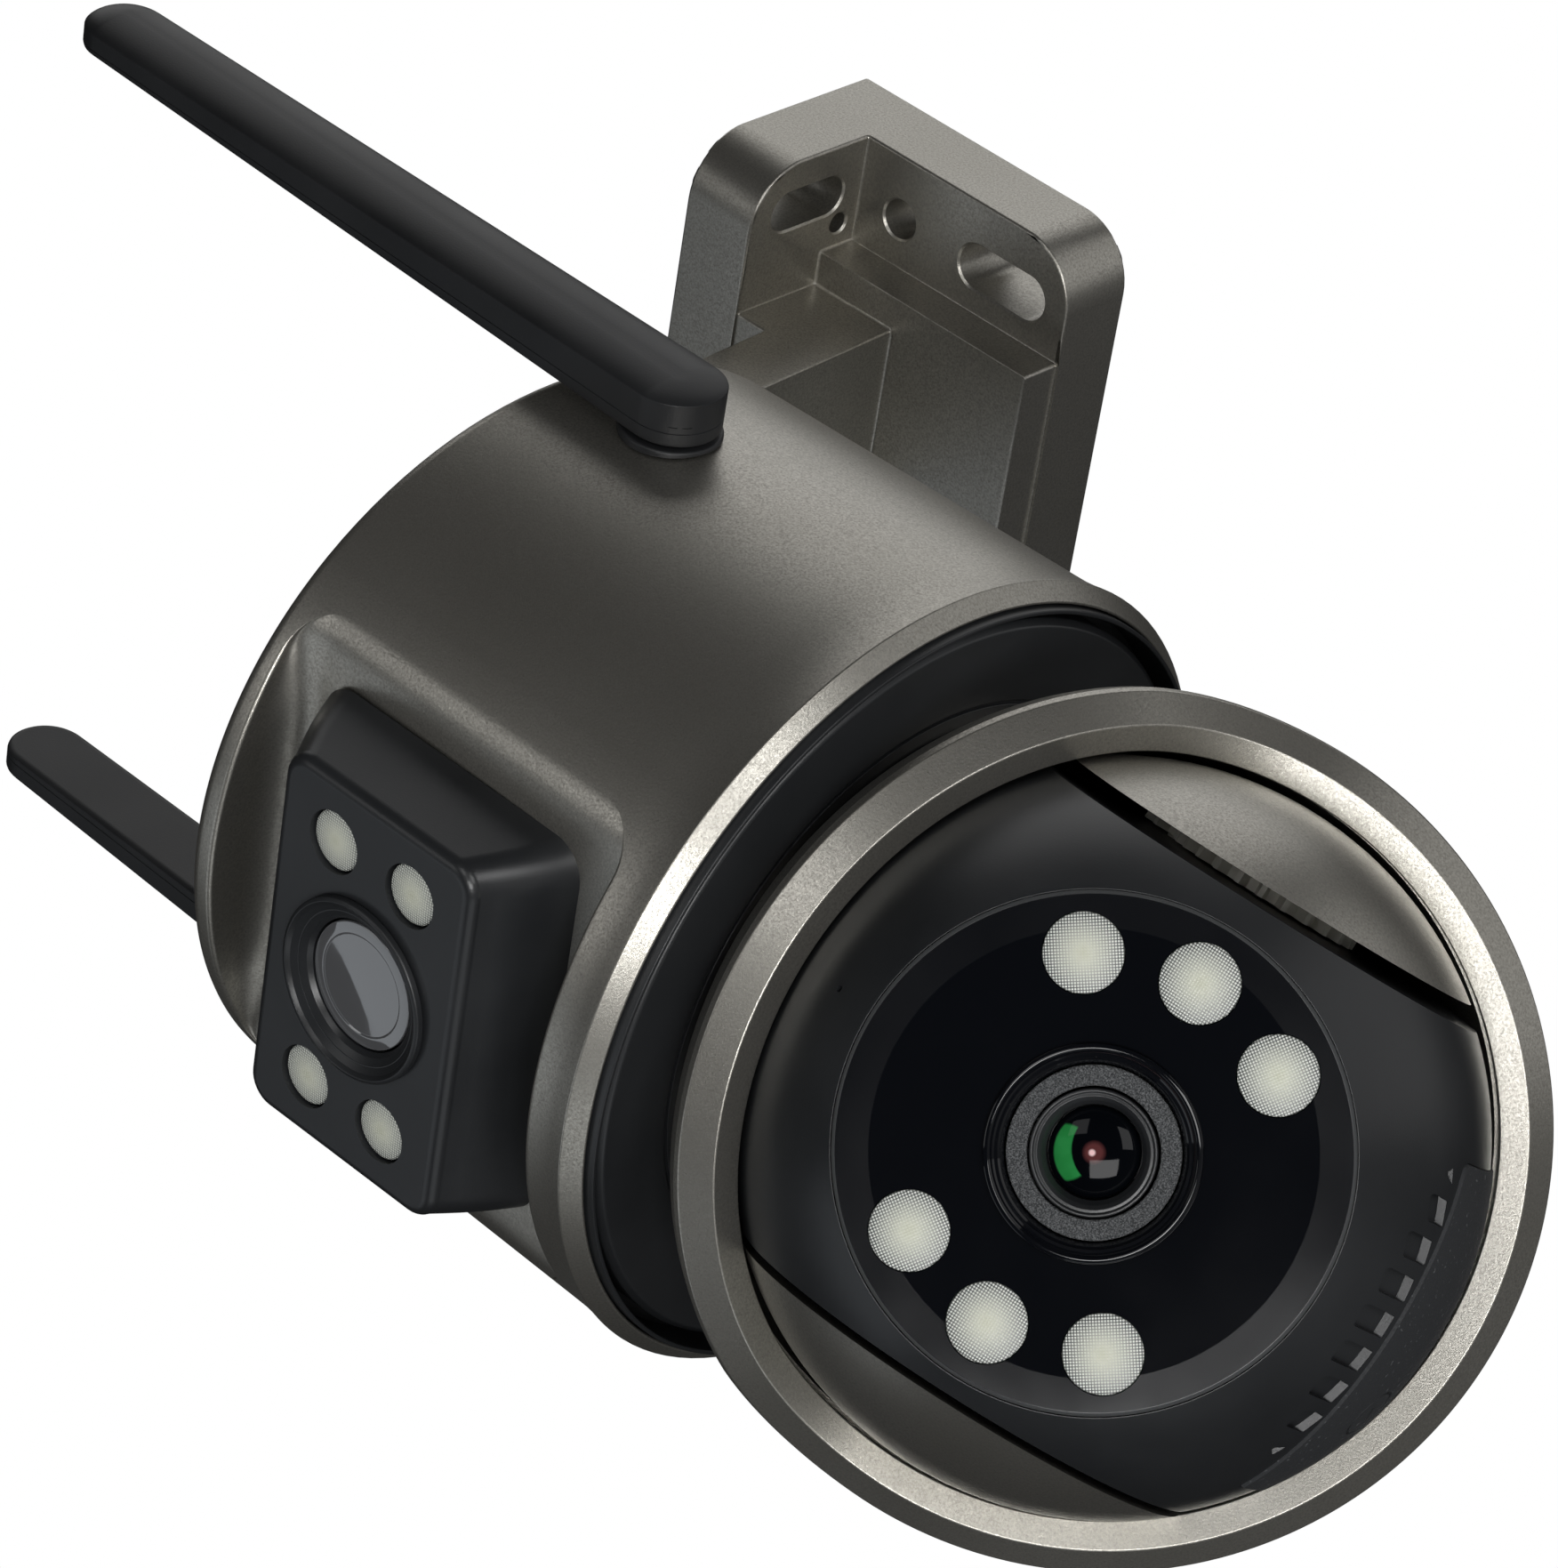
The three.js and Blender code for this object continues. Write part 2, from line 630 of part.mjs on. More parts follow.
function paddle(side) {
  const bevel = 0.7;
  const domeRing = (inset) => paddleRing(inset, (z, half) => {
    const { crease, crown } = paddleDepths(z);
    return crease + (crown - crease) * domeShare(half, inset);
  });
  const body = loft([
    paddleRing(bevel, (z) => paddleDepths(z).inner),
    paddleRing(0, (z) => paddleDepths(z).inner + bevel),
    domeRing(0),
    domeRing(0.9),
    domeRing(3),
    domeRing(5),
  ]);
  const placed = shift(side > 0 ? body : turnZ(body, 180), side * PADDLE_MID, 0, 0);
  const stub = facingRight(side > 0 ? rod(2.4, 47, 57) : rod(2.4, -57, -47));
  const lean = THREE.MathUtils.radToDeg(side > 0 ? ANTENNA_LEAN.right : ANTENNA_LEAN.left);
  return shift(turnX(join(placed, stub), lean), 0, HUB_Y, HUB_Z);
}

function antennaBase(side) {
  const inner = PADDLE_MID - 2.5 - GAP;
  const along = (radius, low, high) => facingRight(
    side > 0 ? rod(radius, low, high, MIDDLE_ROUND) : rod(radius, -high, -low, MIDDLE_ROUND));
  const atHub = (solid) => shift(solid, 0, HUB_Y, HUB_Z);
  const flange = cut(atHub(along(6.8, 53, inner)), bodyOutside(0.15));
  return cut(join(flange, atHub(along(4, 49, inner))), atHub(along(2.7, 40, 70)));
}

// ---------------------------------------------------------------- turntable

function panDrum() {
  const web = 8.4;
  const webTop = 10.4;
  return turned([
    [DRUM_BORE, DRUM_LOW], [40.2, DRUM_LOW], [40.2, DRUM_LOW + 0.5], [40.8, DRUM_LOW + 0.5],
    [40.8, DRUM_LOW], [DRUM_RADIUS - 1, DRUM_LOW], [DRUM_RADIUS - 0.3, DRUM_LOW + 0.3],
    [DRUM_RADIUS, DRUM_LOW + 1], [DRUM_RADIUS, 5], [DRUM_RADIUS - 2, 5],
    [DRUM_RADIUS - 2, 2.6], [31.5, 2.6], [31.5, webTop], [HUB_RADIUS, webTop],
    [HUB_RADIUS, 22], [HUB_BORE, 22], [HUB_BORE, web], [DRUM_BORE, web],
  ]);
}

function panGear() {
  return gear(PAN_TEETH, 24, 10.7, 14.2, Math.PI);
}

function panRetainer() {
  return tube(HUB_RADIUS + 0.15, 14.6, DECK_HIGH + 1.7, DECK_HIGH + 3.2, MIDDLE_ROUND);
}

// ---------------------------------------------------------------- moving head

// Points of the bezel are given by their place across the ring (x), up the ring (up) and in
// front of it (out); the visor bends the upper part forwards along a smooth ramp.
function bendVisor(x, up, out) {
  const ramp = VISOR_RAMP / VISOR_ANGLE;
  const along = Math.min(Math.max(up - VISOR_START, 0), VISOR_RAMP);
  const beyond = Math.max(up - VISOR_START - VISOR_RAMP, 0);
  const angle = along / ramp;
  if (along === 0) return [x, -out, up];
  return [
    x,
    -(ramp - (ramp - out) * Math.cos(angle) + beyond * Math.sin(VISOR_ANGLE)),
    VISOR_START + (ramp - out) * Math.sin(angle) + beyond * Math.cos(VISOR_ANGLE),
  ];
}

function bezel() {
  const profile = [
    [47.85, -0.8], [51.2, -0.05], [51.5, 0], [51.9, -0.2], [54.8, -3.3], [54.9, -4.4],
    [54, -7.4], [51.2, -8.4], [51.2, -5.2], [48.1, -5.2],
  ];
  const positions = [];
  const index = [];
  const count = profile.length;
  for (let step = 0; step < ROUND; step += 1) {
    const angle = (step * 2 * Math.PI) / ROUND;
    for (const [radius, out] of profile) {
      positions.push(...bendVisor(radius * Math.cos(angle), radius * Math.sin(angle), out));
    }
    const next = ((step + 1) % ROUND) * count;
    for (let i = 0; i < count; i += 1) {
      const j = (i + 1) % count;
      const a = step * count;
      index.push(a + i, a + j, next + j, a + i, next + j, next + i);
    }
  }
  const geometry = new THREE.BufferGeometry();
  geometry.setAttribute('position', new THREE.Float32BufferAttribute(positions, 3));
  geometry.setIndex(index);
  return fromBezel(toManifold(geometry));
}

// Moves a piece drawn in the bezel's frame to the head's frame.
function fromBezel(solid) {
  return shift(turnX(shift(solid, 0, BEZEL_BACK, 0), BEZEL_DOWN), 0, -BALL_FORWARD, BALL_Z);
}

function rearShell() {
  const behind = [];
  for (let up = VISOR_START; up <= 62; up += 4) {
    const [, y, z] = bendVisor(0, up, -5.6);
    behind.push([y, z]);
  }
  const side = fromBezel(sideways([[60, -70], [5.6, -70], ...behind, [60, 75]], 60));
  const centred = (solid) => shift(solid, 0, -BALL_FORWARD, BALL_Z);
  const hollow = centred(ball(REAR_INNER));
  const shell = centred(ball(REAR_OUTER)).intersect(side);
  const collar = rod(REAR_COLLAR, -10, DRUM_LOW - GAP, ROUND);
  const shellBelowDrum = shell.intersect(block([-60, -60, -100], [60, 60, DRUM_LOW - GAP]));
  return cut(join(shellBelowDrum, collar), hollow);
}

// A side cap continues the ball's surface beyond its flat side and carries the pivot.
function sideCap(side) {
  const slot = side > 0 ? CAP_RIGHT : -CAP_LEFT;
  const skinRegion = block([slot, -60, -60], [60, CAP_BACK, 60]);
  const hollowRegion = block([slot + CAP_WALL, -60, -60], [60, 60, 60]);
  const skin = ball(CAP_RADIUS).intersect(skinRegion);
  const hollow = ball(CAP_RADIUS - CAP_WALL, HOLLOW_ROUND).intersect(hollowRegion);
  const boss = facingRight(tube(BOSS_BORE, BOSS_RADIUS, slot + 2, slot + BOSS_END));
  const bore = facingRight(rod(BOSS_BORE, slot - 1, slot + BOSS_END + 0.1));
  const right = cut(join(cut(skin, hollow), boss), bore);
  return side > 0 ? right : right.mirror([1, 0, 0]);
}

function tiltBush(side) {
  const slot = side > 0 ? CAP_RIGHT : -CAP_LEFT;
  const ring = tube(TRUNNION + 0.15, BOSS_BORE - 0.2, slot + 0.2, slot + BOSS_END);
  return facingRight(side > 0 ? ring : ring.mirror([0, 0, 1]));
}

function ballShell() {
  const flatSided = block([BALL_LEFT, -PLATE_DEPTH, -60], [BALL_RIGHT, 60, 60]);
  const outside = ball(BALL_RADIUS).intersect(flatSided);
  const inside = ball(BALL_RADIUS - BALL_WALL, HOLLOW_ROUND).intersect(block(
    [BALL_LEFT + BALL_WALL, -30, -60], [BALL_RIGHT - BALL_WALL, 60, 60]));
  const mouth = facingFront(rod(29.2, 28, 40, ROUND));
  const seat = facingFront(rod(PLATE_RADIUS + GAP, PLATE_DEPTH - 2.3, 40, ROUND));
  const cablePort = facingFront(rod(8, -60, -30));
  const trunnions = join(facingRight(rod(TRUNNION, BALL_RIGHT - 0.5, CAP_RIGHT + 4.4)),
    facingRight(rod(TRUNNION, CAP_LEFT - 4.4, BALL_LEFT + 0.5)));
  const pinionHole = atPinion(facingRight(rod(2.6, 30, 40)));
  const flapSeat = flapRegion(GAP).intersect(cut(ball(60, 12), ball(BALL_RADIUS - 1.2)));
  return cut(join(outside, trunnions), inside, mouth, seat, cablePort, pinionHole, flapSeat);
}

// The strip of the ball's underside that the card cover takes up.
function flapRegion(grow) {
  const shape = new THREE.Shape();
  const left = -26 - grow;
  const right = 21.4 + grow;
  const back = -4 - grow;
  const front = (x) => 22.2 - 0.0117 * x * x + grow;
  shape.moveTo(left, back);
  for (let i = 0; i <= 8; i += 1) {
    const x = THREE.MathUtils.lerp(left, right, i / 8);
    shape.lineTo(x, front(x));
  }
  shape.lineTo(right, back);
  shape.closePath();
  // Drawn across X and forwards, looking up at the ball from below.
  return slab(shape, -60, -25).mirror([0, 1, 0]);
}

function cardFlap() {
  return flapRegion(0).intersect(cut(ball(BALL_RADIUS + 0.5), ball(BALL_RADIUS - 0.9)));
}

function atPinion(solid) {
  return shift(solid, 0, PINION_PLACE, PINION_PLACE);
}

function tiltGear() {
  return facingRight(gear(TILT_TEETH, TRUNNION + 0.3, TILT_GEAR_LOW, TILT_GEAR_HIGH, PINION_BEARING));
}

function tiltPinion() {
  const phase = PINION_BEARING + Math.PI + Math.PI / TILT_PINION_TEETH;
  const teeth = gear(TILT_PINION_TEETH, 0, TILT_GEAR_LOW, TILT_GEAR_HIGH, phase);
  const shaft = rod(2.2, BALL_RIGHT - 8, TILT_GEAR_LOW + 0.1);
  return atPinion(facingRight(join(teeth, shaft)));
}

function tiltMotor() {
  const inner = BALL_RIGHT - BALL_WALL - GAP;
  const can = cut(rod(10, inner - 15, inner), rod(2.7, inner - 8, inner + 1));
  return atPinion(facingRight(can));
}

function headLedPlaces() {
  const angles = [0, 180].flatMap((side) => [-1, 0, 1].map((step) => side + step * HEAD_LED_STEP));
  return angles.map((angle) => {
    const turn = THREE.MathUtils.degToRad(angle);
    return [HEAD_LED_CIRCLE * Math.cos(turn), HEAD_LED_CIRCLE * Math.sin(turn)];
  });
}

function frontPlate() {
  const disc = rod(PLATE_RADIUS, PLATE_DEPTH - 2, PLATE_DEPTH, ROUND);
  const lensHole = rod(11.6, 30, 40, MIDDLE_ROUND);
  const ledHole = rod(HEAD_LED_RADIUS + 0.15, 30, 40, MIDDLE_ROUND);
  const ledHoles = headLedPlaces().map(([x, z]) => shift(ledHole, x, z, 0));
  return facingFront(cut(disc, lensHole, ...ledHoles));
}

function headLedLens([x, z]) {
  const solid = turned([
    [0, PLATE_DEPTH - 3], [HEAD_LED_RADIUS, PLATE_DEPTH - 3], [HEAD_LED_RADIUS, PLATE_DEPTH - 0.1],
    [HEAD_LED_RADIUS * 0.6, PLATE_DEPTH + 0.2], [0, PLATE_DEPTH + 0.3],
  ], MIDDLE_ROUND);
  return shift(facingFront(solid), x, 0, z);
}

function lensHood() {
  return facingFront(turned([
    [10.6, 29], [11.3, 29], [11.3, PLATE_DEPTH + GAP], [13, PLATE_DEPTH + GAP],
    [13, PLATE_DEPTH + 0.8], [12.5, PLATE_DEPTH + 1.1], [11.9, PLATE_DEPTH + 0.8], [10.6, PLATE_DEPTH - 0.6],
  ], MIDDLE_ROUND));
}

function lensFoam() {
  return facingFront(tube(7.9, 10.4, 31, 33.4, MIDDLE_ROUND));
}

function lensBarrel() {
  const front = rod(7.6, 20, 34, MIDDLE_ROUND);
  const foot = rod(9, 12, 20.1, MIDDLE_ROUND);
  const bore = rod(5.7, 29, 40, MIDDLE_ROUND);
  return facingFront(cut(join(front, foot), bore));
}

function lensGlass() {
  return facingFront(turned([
    [0, 30], [5.5, 30], [5.5, 31.4], [4.2, 32.1], [2.2, 32.6], [0, 32.8],
  ], MIDDLE_ROUND));
}

function sensorBoard() {
  return block([-17, -11.6, -17], [17, -10, 17]);
}

function ledBoard() {
  return facingFront(tube(12.2, 28.6, 27.4, 28.8, MIDDLE_ROUND));
}

function speaker() {
  const solid = join(rod(10, 0, 3, MIDDLE_ROUND), rod(6, -3, 0.1));
  return shift(turnX(solid, 180), 0, -12, -33);
}

// ---------------------------------------------------------------- assembly

const camera = new THREE.Group();

const body = new THREE.Group();
body.position.set(...BODY_AXIS);
camera.add(body);

const head = new THREE.Group();
head.rotation.z = THREE.MathUtils.degToRad(PAN_AT_REST);
body.add(head);

const eye = new THREE.Group();
eye.position.set(0, -BALL_FORWARD, BALL_Z);
eye.rotation.x = THREE.MathUtils.degToRad(LENS_DOWN);
head.add(eye);

node(camera, 'wall_bracket', 'bronze', wallBracket());
node(body, 'neck_gasket', 'rubber', neckGasket());
SCREWS.forEach((place, i) => node(body, `neck_screw_${i + 1}`, 'steel', neckScrew(place)));

node(body, 'body_shell', 'bronze', bodyShell());
node(body, 'base_cover', 'black', baseCover());
node(body, 'cable_gland', 'rubber', cableGland());
node(body, 'pan_motor', 'steel', panMotor());
node(body, 'pan_bush', 'brass', panBush());
node(body, 'pan_pinion', 'nylon', panPinion());
node(body, 'main_board', 'board', mainBoard());
node(body, 'heat_sink', 'alloy', heatSink());

node(body, 'module_housing', 'black', moduleHousing());
node(body, 'module_lens_ring', 'black', moduleLensRing());
node(body, 'module_lens_glass', 'glass', moduleLensGlass());
node(body, 'module_lens_barrel', 'black', moduleLensBarrel());
node(body, 'module_sensor_board', 'board', moduleSensorBoard());
moduleLedPlaces().forEach((place, i) => node(body, `module_led_lens_${i + 1}`, 'led', moduleLedLens(place)));

for (const [side, name] of [[1, 'right'], [-1, 'left']]) {
  node(body, `antenna_${name}`, 'black', paddle(side));
  node(body, `antenna_${name}_base`, 'black', antennaBase(side));
}

node(head, 'pan_drum', 'black', panDrum());
// The drum's gear keeps its mesh with the fixed pinion, so it is turned back by the pan angle.
node(head, 'pan_gear', 'nylon', turnZ(panGear(), -PAN_AT_REST));
node(head, 'pan_retainer', 'steel', panRetainer());
node(head, 'head_bezel', 'bronze', bezel());
node(head, 'head_rear_shell', 'bronze', rearShell());

for (const [side, name] of [[1, 'right'], [-1, 'left']]) {
  node(eye, `side_cap_${name}`, 'bronze', turnX(sideCap(side), BEZEL_DOWN - LENS_DOWN));
  node(eye, `tilt_bush_${name}`, 'brass', tiltBush(side));
}
node(eye, 'tilt_gear', 'nylon', tiltGear());
node(eye, 'tilt_pinion', 'nylon', tiltPinion());
node(eye, 'tilt_motor', 'steel', tiltMotor());
node(eye, 'ball_shell', 'black', ballShell());
node(eye, 'card_flap', 'rubber', cardFlap());
node(eye, 'front_plate', 'gloss', frontPlate());
headLedPlaces().forEach((place, i) => node(eye, `head_led_lens_${i + 1}`, 'led', headLedLens(place)));
node(eye, 'lens_hood', 'gloss', lensHood());
node(eye, 'lens_foam', 'foam', lensFoam());
node(eye, 'lens_barrel', 'black', lensBarrel());
node(eye, 'lens_glass', 'glass', lensGlass());
node(eye, 'sensor_board', 'board', sensorBoard());
node(eye, 'led_board', 'board', ledBoard());
node(eye, 'speaker', 'black', speaker());

export default camera;
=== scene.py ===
import json
import math

import bmesh
import bpy
from mathutils import Matrix, Vector


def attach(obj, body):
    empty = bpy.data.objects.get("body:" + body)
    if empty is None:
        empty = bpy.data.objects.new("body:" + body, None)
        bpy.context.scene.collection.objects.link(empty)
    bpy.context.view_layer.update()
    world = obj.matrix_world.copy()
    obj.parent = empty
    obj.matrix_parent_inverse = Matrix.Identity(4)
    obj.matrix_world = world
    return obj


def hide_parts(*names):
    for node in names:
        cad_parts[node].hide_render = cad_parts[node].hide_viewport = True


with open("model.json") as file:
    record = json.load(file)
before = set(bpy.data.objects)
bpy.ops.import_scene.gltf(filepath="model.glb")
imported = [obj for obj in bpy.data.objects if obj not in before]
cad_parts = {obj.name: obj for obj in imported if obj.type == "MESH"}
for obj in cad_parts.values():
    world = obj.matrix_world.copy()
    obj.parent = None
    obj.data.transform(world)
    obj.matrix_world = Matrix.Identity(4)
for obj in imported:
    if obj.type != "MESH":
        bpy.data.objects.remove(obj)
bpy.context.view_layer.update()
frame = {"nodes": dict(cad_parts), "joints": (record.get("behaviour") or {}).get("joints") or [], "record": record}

# ---------------------------------------------------------------- frames, in millimetres

LENS_DOWN = 26.85          # degrees the lens points below the level
BEZEL_DOWN = 34
BEZEL_BACK = 0.8

joints = {joint["name"]: joint for joint in frame["joints"]}
tilt_axis = Vector(joints["ball_tilt"]["axis"])
MILLIMETRES = Matrix.Diagonal((0.001, 0.001, 0.001, 1))


def turn(axis, degrees):
    return Matrix.Rotation(math.radians(degrees), 4, axis)


def move(x, y, z):
    return Matrix.Translation((x, y, z))


BODY = Matrix.Translation(Vector(joints["head_pan"]["pos_m"])) @ MILLIMETRES
HEAD = BODY @ Matrix.Rotation(math.atan2(tilt_axis.y, tilt_axis.x), 4, "Z")
ball_centre = HEAD.inverted() @ Vector(joints["ball_tilt"]["pos_m"])
BALL = HEAD @ Matrix.Translation(ball_centre)
EYE = BALL @ turn("X", LENS_DOWN)
CAPS = BALL @ turn("X", BEZEL_DOWN)
BEZEL = CAPS @ move(0, BEZEL_BACK, 0)
AHEAD = turn("X", 90)       # a piece drawn along +Z comes to point forwards
RIGHTWARDS = turn("Y", 90)  # a piece drawn along +Z comes to point to the right

# ---------------------------------------------------------------- driving dimensions

GAP = 0.3
BODY_RADIUS = 55.95
BODY_TAPER = 0.02
BODY_TOP = 70.2
TOP_SLOPE = 0.0645
RECESS_FLOOR = -43.8
RECESS_LOW = 9.5
RECESS_HIGH = 69.5
RECESS_HALF = 36
RECESS_CORNER = 6.5
INNER_FRONT = -41.2
DECK_LOW = 15.5
DECK_HIGH = 18
PAN_SPACING = 36
GLAND_Z = 30
MODULE_FACE = -57.4
MODULE_LENS_Z = 39
MODULE_LEDS = [(x, z) for x in (18.1, -18.1) for z in (32.1, 45.9)]
MODULE_LED_RADIUS = 4.05
HUB_Y = 0.3
HUB_Z = 52
PADDLE_MID = 58.75
PADDLE_LENGTH = 115.6
PADDLE_HALF_BASE = 6.5
PADDLE_HALF_TIP = 5.9
LEANS = {"right": -0.034, "left": -0.013}
DRUM_RADIUS = 51.8
DRUM_LOW = 0.4
BALL_RADIUS = 46.5
BALL_RIGHT = 34.7
BALL_LEFT = -33.5
CAP_RIGHT = 37.2
CAP_LEFT = -34.6
CAP_RADIUS = 46.9
TRUNNION = 4
PLATE_DEPTH = 34.5
PLATE_RADIUS = 31
HEAD_LED_CIRCLE = 23.6
HEAD_LED_STEP = 34.85
HEAD_LED_RADIUS = 4.85
VISOR_START = 3.5
VISOR_RAMP = 20
VISOR_ANGLE = math.radians(30.4)
SCREWS = [(-8, 31), (8, 31), (0, 46)]

# ---------------------------------------------------------------- outlines


def rounded(points, closed=True, steps=5):
    """A polyline whose points (x, y, radius) have their corners rounded."""
    result = []
    for i, point in enumerate(points):
        corner = Vector(point[:2])
        radius = point[2] if len(point) > 2 else 0
        at_end = not closed and i in (0, len(points) - 1)
        if radius == 0 or at_end:
            result.append((corner.x, corner.y))
            continue
        before = (Vector(points[i - 1][:2]) - corner).normalized()
        after = (Vector(points[(i + 1) % len(points)][:2]) - corner).normalized()
        half = before.angle(after) / 2
        centre = corner + (before + after).normalized() * radius / math.sin(half)
        start = corner + before * radius / math.tan(half) - centre
        end = corner + after * radius / math.tan(half) - centre
        sweep = math.atan2(start.x * end.y - start.y * end.x, start.dot(end))
        for step in range(steps + 1):
            angle = sweep * step / steps
            result.append((
                centre.x + start.x * math.cos(angle) - start.y * math.sin(angle),
                centre.y + start.x * math.sin(angle) + start.y * math.cos(angle),
            ))
    return result


def box_outline(half, low, high, radius, steps=10):
    corners = [(half, low), (half, high), (-half, high), (-half, low)]
    return rounded([(x, y, radius) for x, y in corners], steps=steps)


def slot_outline(x, low, high, width, steps=20):
    outline = []
    for centre, start in ((low + width / 2, math.pi), (high - width / 2, 0)):
        for step in range(steps + 1):
            angle = start + math.pi * step / steps
            outline.append((x + width / 2 * math.cos(angle), centre + width / 2 * math.sin(angle)))
    return outline


# ---------------------------------------------------------------- solids


def solid(points, faces, place, name="solid"):
    mesh = bpy.data.meshes.new(name)
    mesh.from_pydata([place @ Vector(point) for point in points], [], faces)
    obj = bpy.data.objects.new(name, mesh)
    bpy.context.scene.collection.objects.link(obj)
    tidy_mesh(obj)
    return obj


def drop_slivers(work):
    """Deletes the loose scraps of a few faces that a cut can leave behind."""
    MOST_FACES = 8
    MOST_AREA = 1e-7
    unseen = set(work.faces)
    while unseen:
        island = {unseen.pop()}
        waiting = list(island)
        while waiting:
            face = waiting.pop()
            for neighbour in [other for edge in face.edges for other in edge.link_faces]:
                if neighbour in unseen:
                    unseen.remove(neighbour)
                    island.add(neighbour)
                    waiting.append(neighbour)
        if len(island) <= MOST_FACES and sum(face.calc_area() for face in island) < MOST_AREA:
            bmesh.ops.delete(work, geom=list(island), context="FACES")


def tidy_mesh(obj, merge=1e-7):
    """Welds a solid's points, drops its scraps and turns its faces outwards."""
    work = bmesh.new()
    work.from_mesh(obj.data)
    bmesh.ops.remove_doubles(work, verts=work.verts, dist=merge)
    drop_slivers(work)
    bmesh.ops.recalc_face_normals(work, faces=work.faces)
    if work.calc_volume(signed=True) < 0:
        bmesh.ops.reverse_faces(work, faces=work.faces)
    work.to_mesh(obj.data)
    work.free()


def bridge(first, second):
    """Quads, or triangles at a pole, between two rings of point numbers."""
    count = max(len(first), len(second))
    faces = []
    for i in range(count):
        j = (i + 1) % count
        if len(first) == 1:
            faces.append((first[0], second[j], second[i]))
        elif len(second) == 1:
            faces.append((first[i], first[j], second[0]))
        else:
            faces.append((first[i], first[j], second[j], second[i]))
    return faces


def lathe(profile, place, steps=144):
    """A solid of revolution about +Z through (radius, height) points."""
    points = []
    rings = []
    for radius, height in profile:
        count = 1 if radius < 1e-6 else steps
        rings.append(list(range(len(points), len(points) + count)))
        for step in range(count):
            angle = 2 * math.pi * step / steps
            points.append((radius * math.cos(angle), radius * math.sin(angle), height))
    faces = []
    for first, second in zip(rings, rings[1:]):
        faces += bridge(first, second)
    if len(rings[0]) > 1:
        faces += bridge(rings[-1], rings[0])
    return solid(points, faces, place)


def rod(radius, low, high, place, steps=96):
    return lathe([(0, low), (radius, low), (radius, high), (0, high)], place, steps)


def tube(inner, outer, low, high, place, steps=96):
    return lathe([(inner, low), (outer, low), (outer, high), (inner, high)], place, steps)


def sphere(radius, place, rows=72, steps=144):
    angles = [math.pi * row / rows for row in range(rows + 1)]
    profile = [(radius * math.sin(a), -radius * math.cos(a)) for a in angles]
    return lathe(profile, place, steps)


def prism(outline, low, high, place):
    count = len(outline)
    points = [(x, y, low) for x, y in outline] + [(x, y, high) for x, y in outline]
    faces = bridge(list(range(count)), list(range(count, 2 * count)))
    faces += [tuple(range(count)), tuple(range(count, 2 * count))]
    return solid(points, faces, place)


def block(low, high, place):
    x0, y0, z0 = low
    x1, y1, z1 = high
    return prism([(x0, y0), (x1, y0), (x1, y1), (x0, y1)], z0, z1, place)


def loft(rings, place):
    count = len(rings[0])
    points = [point for ring in rings for point in ring]
    numbers = [list(range(i * count, (i + 1) * count)) for i in range(len(rings))]
    faces = [tuple(numbers[0]), tuple(numbers[-1])]
    for first, second in zip(numbers, numbers[1:]):
        faces += bridge(first, second)
    return solid(points, faces, place)


def bake_modifiers(obj):
    graph = bpy.context.evaluated_depsgraph_get()
    graph.update()
    mesh = bpy.data.meshes.new_from_object(obj.evaluated_get(graph))
    obj.modifiers.clear()
    old = obj.data
    obj.data = mesh
    bpy.data.meshes.remove(old)


def combine(target, operation, *tools):
    for tool in tools:
        modifier = target.modifiers.new("combine", "BOOLEAN")
        modifier.operation = operation
        modifier.solver = "EXACT"
        modifier.object = tool
        bake_modifiers(target)
        bpy.data.objects.remove(tool)
    tidy_mesh(target)
    return target


def cut(target, *tools):
    return combine(target, "DIFFERENCE", *tools)


def join(target, *tools):
    return combine(target, "UNION", *tools)


def keep(target, *tools):
    return combine(target, "INTERSECT", *tools)


def soften(obj, width, segments=3, angle=35):
    """Rounds the sharp edges of a finished solid."""
    work = bmesh.new()
    work.from_mesh(obj.data)
    bmesh.ops.triangulate(work, faces=work.faces)
    work.to_mesh(obj.data)
    work.free()
    bevel = obj.modifiers.new("soften", "BEVEL")
    bevel.width = width / 1000
    bevel.segments = segments
    bevel.limit_method = "ANGLE"
    bevel.angle_limit = math.radians(angle)
    bevel.use_clamp_overlap = False
    bevel.miter_outer = "MITER_ARC"
    bake_modifiers(obj)
    return obj


# ---------------------------------------------------------------- materials


